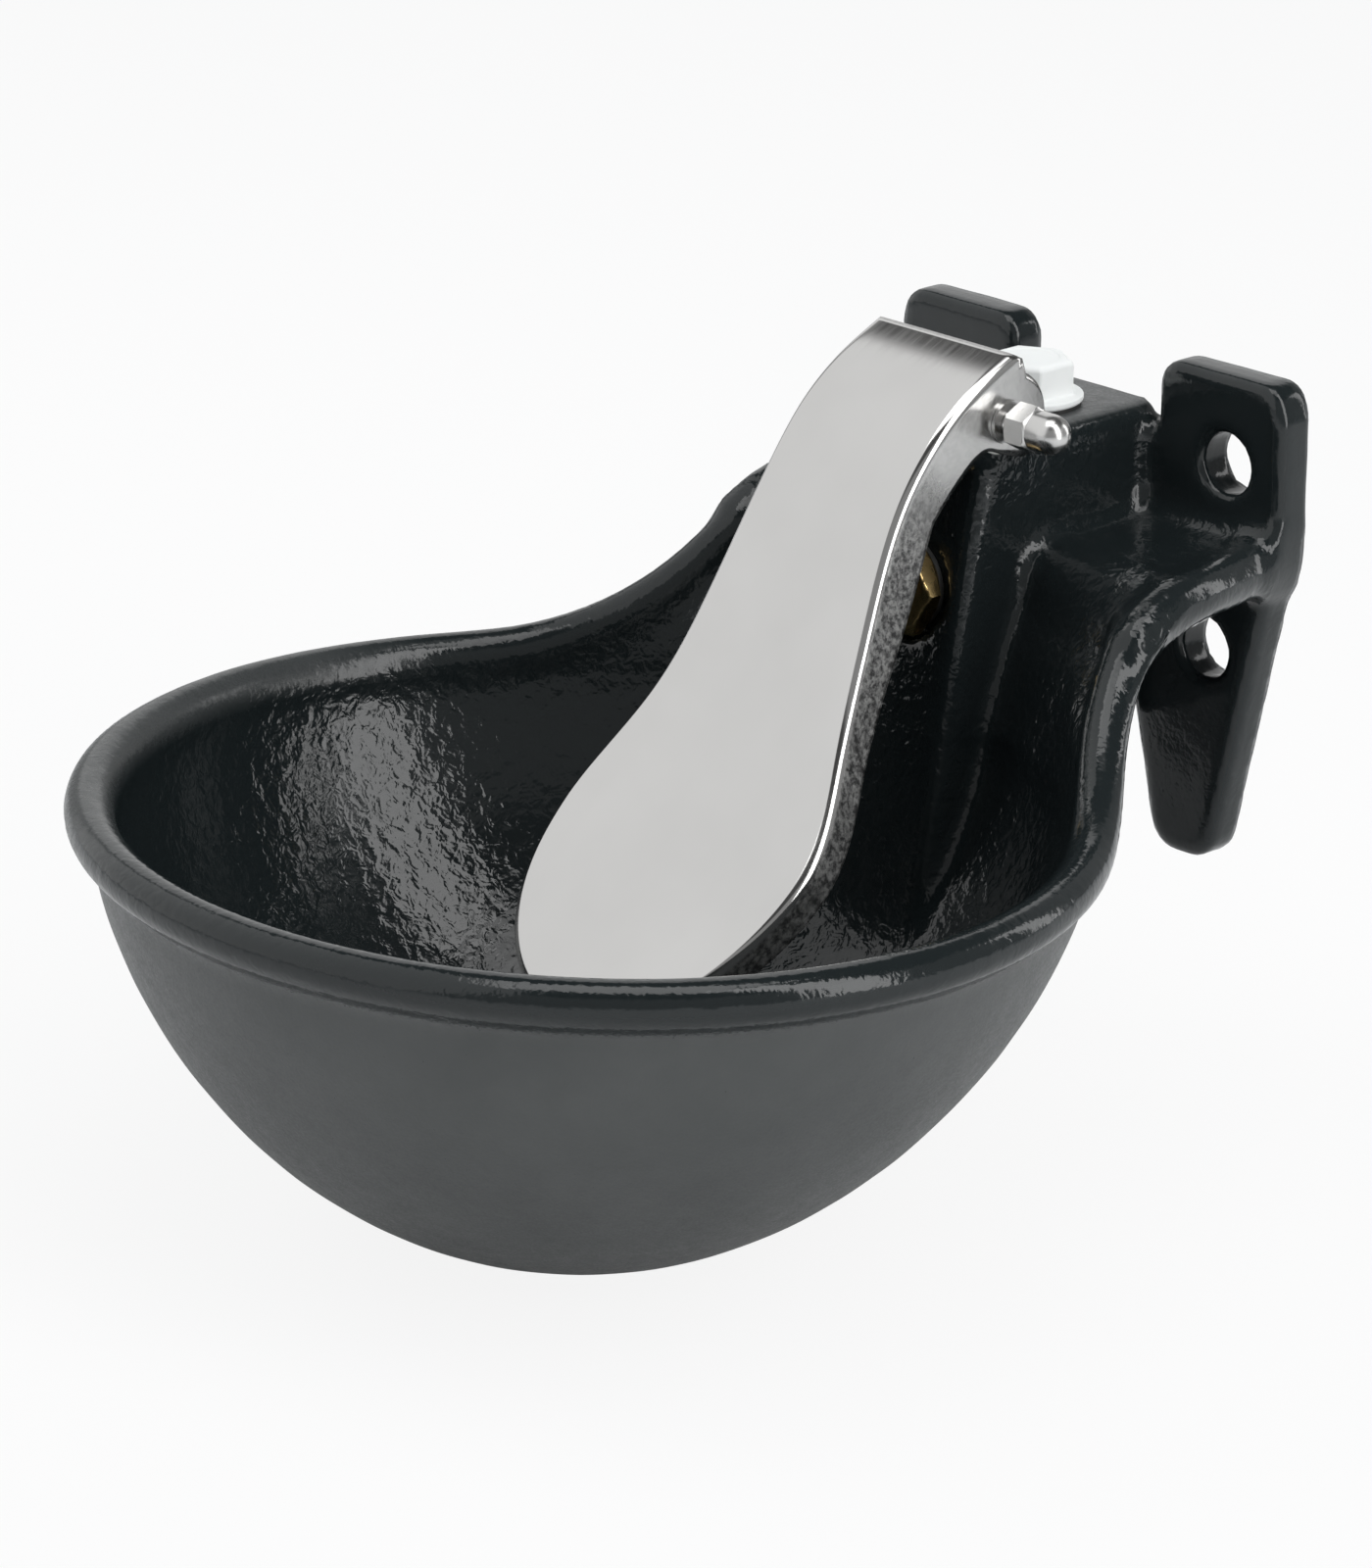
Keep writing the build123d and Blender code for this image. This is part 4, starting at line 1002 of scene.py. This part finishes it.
def hexagon_profile(start, length, flats, hole=0.0):
    """Stations, radii and flats of a hexagon with both ends chamfered by a 30 degree cone: over the chamfer
    the radius grows evenly from a share of half the flats to the corner, and the depth is the slope times
    that rise."""
    corner = flats / 2 / cos(pi / 6)
    rise = np.linspace(0, 1, 6)
    depth = (corner - flats / 2 * CHAMFER_SHARE) * CHAMFER_SLOPE
    end = start + length
    stations = np.concatenate([[start], start + depth * rise, end - depth * rise[::-1], [end]])
    radii = flats / 2 * CHAMFER_SHARE + (corner - flats / 2 * CHAMFER_SHARE) * rise
    radii = np.concatenate([[hole], radii, radii[::-1], [hole]])
    limit = np.concatenate([[0.0], np.full(12, flats), [0.0]])
    return stations, radii, limit


class BOWL_OT_fasteners(Operator):
    """Works out the pivot bolt, its acorn nut and the washers"""

    bl_idname = "bowl.fasteners"
    bl_label = "Pivot fasteners"

    def execute(self, context):
        # The nut is a hexagon, a straight neck and a dome, radius * sin(turn) along and radius * cos(turn)
        # out. The bolt is a hexagon, a plain shank and rings of radius + height * sin(2 pi * station), which
        # stand 1 mm apart for its thread.
        steel = finish("fastener_steel")
        pivot = (0.0, PIVOT_Y, PIVOT_LEVEL)
        stations, radii, limit = hexagon_profile(NUT_START, NUT_LENGTH, NUT_FLATS)
        dome = np.linspace(0, pi / 2, 14)
        neck = [NUT_START + NUT_LENGTH, DOME_START - DOME_NECK]
        stations = np.concatenate([stations[:-1], neck, DOME_START + DOME_RADIUS * np.sin(dome)])
        radii = np.concatenate([radii[:-1], [DOME_RADIUS, DOME_RADIUS], DOME_RADIUS * np.cos(dome)])
        limit = np.concatenate([limit[:-1], np.zeros(2 + len(dome))])
        nut = turned_piece("acorn_nut_piece", stations, radii, pivot, "x", limit=limit)
        dress(nut, "bowl", steel, ["acorn_nut"])
        head_stations, head_radii, head_limit = hexagon_profile(HEAD_START, HEAD_LENGTH, NUT_FLATS)
        shank = HEAD_START + HEAD_LENGTH
        thread = np.linspace(shank, BOLT_END, 361)
        ridge = THREAD_RADIUS + THREAD_HEIGHT * np.sin(2 * pi * thread)
        ridge[:PLAIN_RINGS] = BOLT_RADIUS
        stations = np.concatenate([head_stations[:-1], [shank], thread, [BOLT_END]])
        radii = np.concatenate([head_radii[:-1], [BOLT_RADIUS], ridge, [0.0]])
        limit = np.concatenate([head_limit[:-1], np.zeros(len(thread) + 2)])
        bolt = turned_piece("pivot_bolt_piece", stations, radii, pivot, "x", segments=48, limit=limit)
        dress(bolt, "bowl", steel, ["pivot_bolt"])
        washers = nodes["pivot_washers"].data.materials
        washers.clear()
        washers.append(steel)
        return {"FINISHED"}


class BOWL_OT_valve(Operator):
    """Works out the valve head, finishes the inner pieces and puts a copy of the spring in place of its node
    """

    bl_idname = "bowl.valve"
    bl_label = "Valve"

    def execute(self, context):
        # A turned tube: the round shank, the chamfered hexagon, then a cone from the face down to the bore
        stations, radii, limit = hexagon_profile(0.0, VALVE_HEAD, VALVE_FLATS)
        origin = (0.0, VALVE_FACE_Y, VALVE_LEVEL)
        mouth = [VALVE_HEAD, VALVE_MOUTH_FOOT, VALVE_TAIL]
        mouth_radii = [VALVE_MOUTH_RADIUS, VALVE_BORE, VALVE_BORE]
        stations = np.concatenate([[VALVE_TAIL, VALVE_TAIL], stations[1:-1], mouth])
        radii = np.concatenate([[VALVE_BORE, SOCKET_RADIUS], radii[1:-1], mouth_radii])
        limit = np.concatenate([[0.0, 0.0], limit[1:-1], [0.0, 0.0, 0.0]])
        head = turned_piece("valve_head", stations, radii, origin, "-y", limit=limit)
        dress(head, "bowl", finish("brass"), ["valve_body"])
        for node, slot in {
            "stem_guide": "brass",
            "stem_cap": "brass",
            "seal_plate": "brass",
            "stem_nut": "brass",
            "valve_stem": "polished_stainless",
            "strainer_cage": "bush_plastic",
            "pivot_bushes": "bush_plastic",
            "valve_gasket": "rubber",
            "seat_seal": "rubber",
            "plug_gasket": "rubber",
        }.items():
            nodes[node].data.materials.clear()
            nodes[node].data.materials.append(finish(slot))
        # A copy of the spring's node
        spring = bpy.data.objects.new("valve_spring_piece", nodes["valve_spring"].data.copy())
        context.scene.collection.objects.link(spring)
        weld(spring, 0.001)
        dress(spring, "bowl", finish("spring_steel"), ["valve_spring"])
        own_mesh(spring)
        return {"FINISHED"}


class BOWL_OT_plug(Operator):
    """Works out the moulded plug in the upper pipe socket"""

    bl_idname = "bowl.plug"
    bl_label = "Plug"

    def execute(self, context):
        # A turned profile of (station, radius): shank, flange with a quarter circle for its edge, and the
        # head, a hexagon whose flats shrink by 2 * edge * (1 - cos(turn)) over the crown's quarter circle
        edge = np.linspace(0, pi / 2, 6)
        quarter = np.stack([np.sin(edge), np.cos(edge)], axis=1)
        rim = np.array(PLUG_RIM) + PLUG_RIM_EDGE * quarter
        crown = np.array(PLUG_CROWN) + PLUG_EDGE * quarter
        profile = np.concatenate([PLUG_SHANK, rim, [PLUG_FOOT], PLUG_HEAD, crown, PLUG_TOP])
        flats = np.zeros(len(profile))
        first = len(PLUG_SHANK) + len(rim) + 1
        flats[first : first + 2] = PLUG_FLATS
        flats[first + 2 : first + 8] = PLUG_FLATS - 2 * PLUG_EDGE * (1 - np.cos(edge))
        seat = (0, COLUMN_Y, PLATFORM_LEVEL)
        plug = turned_piece("plug", profile[:, 0], profile[:, 1], seat, "z", limit=flats)
        soft = plug.modifiers.new("moulded edges", "BEVEL")
        soft.width = 0.5 * MM
        soft.segments = 2
        soft.limit_method = "ANGLE"
        soft.angle_limit = radians(35)
        dress(plug, "bowl", finish("white_plastic"), ["inlet_plug"])
        return {"FINISHED"}


def floor_finish():
    """Floor: pale paint, lifted by a plain glow that the camera sees, and metal and glass a little."""
    f = Finish("studio_floor")
    path = f.node("ShaderNodeLightPath")
    mirrored = f.maths("MAXIMUM", path.outputs["Is Glossy Ray"], path.outputs["Is Transmission Ray"])
    seen = f.maths("MULTIPLY", path.outputs["Is Camera Ray"], FLOOR_GLOW)
    seen = f.maths("MAXIMUM", seen, f.maths("MULTIPLY", mirrored, FLOOR_MIRRORED_GLOW))
    emission = f.node("ShaderNodeEmission", {"Strength": 1.0})
    paint = f.node("ShaderNodeBsdfDiffuse", {"Color": (0.8, 0.8, 0.8, 1), "Roughness": 0.5})
    mix = f.node("ShaderNodeMixShader", {0: seen, 1: paint.outputs[0], 2: emission.outputs[0]})
    f.tree.links.new(mix.outputs[0], f.tree.nodes["Material Output"].inputs["Surface"])
    return f.material


def studio_world():
    """World: an even bluish fill, white to the camera; in reflections a wide white wall on one side, a narrow
    one behind, grey walls round them and a dark ceiling with a light in its middle."""
    world = bpy.data.worlds.new("studio_world")
    world.use_nodes = True
    tree = world.node_tree
    toward = tree.nodes.new("ShaderNodeTexCoord").outputs["Generated"]
    height = wired(tree, "ShaderNodeSeparateXYZ", {0: toward}).outputs["Z"]

    def eased(value, start, end, low, high):
        inputs = {"Value": value, "From Min": start, "From Max": end, "To Min": low, "To Max": high}
        return wired(tree, "ShaderNodeMapRange", inputs, interpolation_type="SMOOTHSTEP").outputs["Result"]

    def maths(operation, a, b):
        return wired(tree, "ShaderNodeMath", {0: a, 1: b}, operation=operation).outputs[0]

    facing = wired(tree, "ShaderNodeVectorMath", {0: toward, 1: WHITE_WALL}, operation="DOT_PRODUCT")
    wall = eased(facing.outputs["Value"], *WHITE_WALL_EDGE, 0.0, WHITE_WALLS)
    facing = wired(tree, "ShaderNodeVectorMath", {0: toward, 1: REAR_WALL}, operation="DOT_PRODUCT")
    wall = maths("MAXIMUM", wall, eased(facing.outputs["Value"], *REAR_WALL_EDGE, 0.0, WHITE_WALLS))
    walls = eased(height, *CEILING_EDGE, GREY_WALLS, DARK_CEILING)
    ceiling = eased(height, *CEILING_LIGHT_EDGE, 0.0, CEILING_LIGHT)
    room = maths("MAXIMUM", maths("MAXIMUM", wall, walls), ceiling)
    path = tree.nodes.new("ShaderNodeLightPath").outputs
    lost = maths("MULTIPLY", path["Is Glossy Ray"], maths("SUBTRACT", 1.0, room))
    seen = maths("MAXIMUM", path["Is Camera Ray"], path["Is Glossy Ray"])
    seen = maths("MAXIMUM", seen, path["Is Transmission Ray"])
    white = {"Color": (1.0, 1.0, 1.0, 1.0), "Strength": maths("SUBTRACT", 1.0, lost)}
    white = wired(tree, "ShaderNodeBackground", white)
    fill = tree.nodes["Background"]
    fill.inputs["Color"].default_value = (0.93, 0.97, 1.0, 1.0)
    fill.inputs["Strength"].default_value = FILL
    mix = wired(tree, "ShaderNodeMixShader", {0: seen, 1: fill.outputs[0], 2: white.outputs[0]})
    tree.links.new(mix.outputs[0], tree.nodes["World Output"].inputs["Surface"])
    return world


def softbox(name, place, wide, tall, watts, mirrored):
    """A rectangular lamp turned to the middle of the bowl; mirrored says whether it shows in reflections."""
    lamp = bpy.data.lights.new(name, "AREA")
    lamp.shape = "RECTANGLE"
    lamp.size = wide
    lamp.size_y = tall
    lamp.energy = watts
    thing = bpy.data.objects.new(name, lamp)
    thing.location = place
    aim = np.array(LAMP_TARGET) - np.array(place)
    pitch = np.arctan2(np.hypot(aim[0], aim[1]), -aim[2])
    thing.rotation_euler = (pitch, 0.0, np.arctan2(-aim[0], aim[1]))
    thing.visible_glossy = mirrored
    thing.visible_camera = False
    bpy.context.scene.collection.objects.link(thing)


class BOWL_OT_studio(Operator):
    """Sets the floor, the world, the lamps and the camera"""

    bl_idname = "bowl.studio"
    bl_label = "Studio"

    def execute(self, context):
        scene = context.scene
        corners = np.array([(-1.0, -1.0, 0.0), (1.0, -1.0, 0.0), (1.0, 1.0, 0.0), (-1.0, 1.0, 0.0)])
        corners = corners * FLOOR_HALF
        corners[:, 2] = cad_box[0][2] - FLOOR_GAP
        floor = put_mesh("floor", corners / MM, [[0, 1, 2, 3]], smooth=False)
        floor.data.materials.append(floor_finish())
        scene.world = studio_world()
        for lamp in LAMPS:
            softbox(*lamp)

        lens = bpy.data.cameras.new("camera")
        lens.lens = CAMERA_LENS
        lens.sensor_fit = "VERTICAL"
        lens.sensor_height = 36.0
        lens.clip_start = 0.05
        camera = bpy.data.objects.new("camera", lens)
        camera.location = CAMERA_PLACE
        camera.rotation_euler = (radians(90 - CAMERA_DIP), 0.0, radians(CAMERA_TURN))
        scene.collection.objects.link(camera)
        scene.camera = camera
        scene.view_settings.view_transform = "Standard"
        return {"FINISHED"}


class BOWL_PT_panel(Panel):
    """Lists the pieces of the drinking bowl in the sidebar"""

    bl_label = "Drinking Bowl"
    bl_idname = "BOWL_PT_panel"
    bl_space_type = "VIEW_3D"
    bl_region_type = "UI"
    bl_category = "Drinking Bowl"

    def draw(self, context):
        for group in (context.scene.bowl_sizes, context.scene.bowl_colours):
            for name in group.__annotations__:
                self.layout.prop(group, name)
        for operator in PIECES:
            self.layout.operator(operator.bl_idname)


PIECES = (BOWL_OT_casting, BOWL_OT_tongue, BOWL_OT_fasteners, BOWL_OT_valve, BOWL_OT_plug, BOWL_OT_studio)
CLASSES = (BowlSizes, BowlColours, *PIECES, BOWL_PT_panel)


def register():
    for piece in CLASSES:
        bpy.utils.register_class(piece)
    bpy.types.Scene.bowl_sizes = PointerProperty(type=BowlSizes)
    bpy.types.Scene.bowl_colours = PointerProperty(type=BowlColours)


def unregister():
    del bpy.types.Scene.bowl_sizes
    del bpy.types.Scene.bowl_colours
    for piece in reversed(CLASSES):
        bpy.utils.unregister_class(piece)


def main():
    register()
    bpy.ops.bowl.casting()
    bpy.ops.bowl.tongue()
    bpy.ops.bowl.fasteners()
    bpy.ops.bowl.valve()
    bpy.ops.bowl.plug()
    bpy.ops.bowl.studio()


if __name__ == "__main__":
    main()
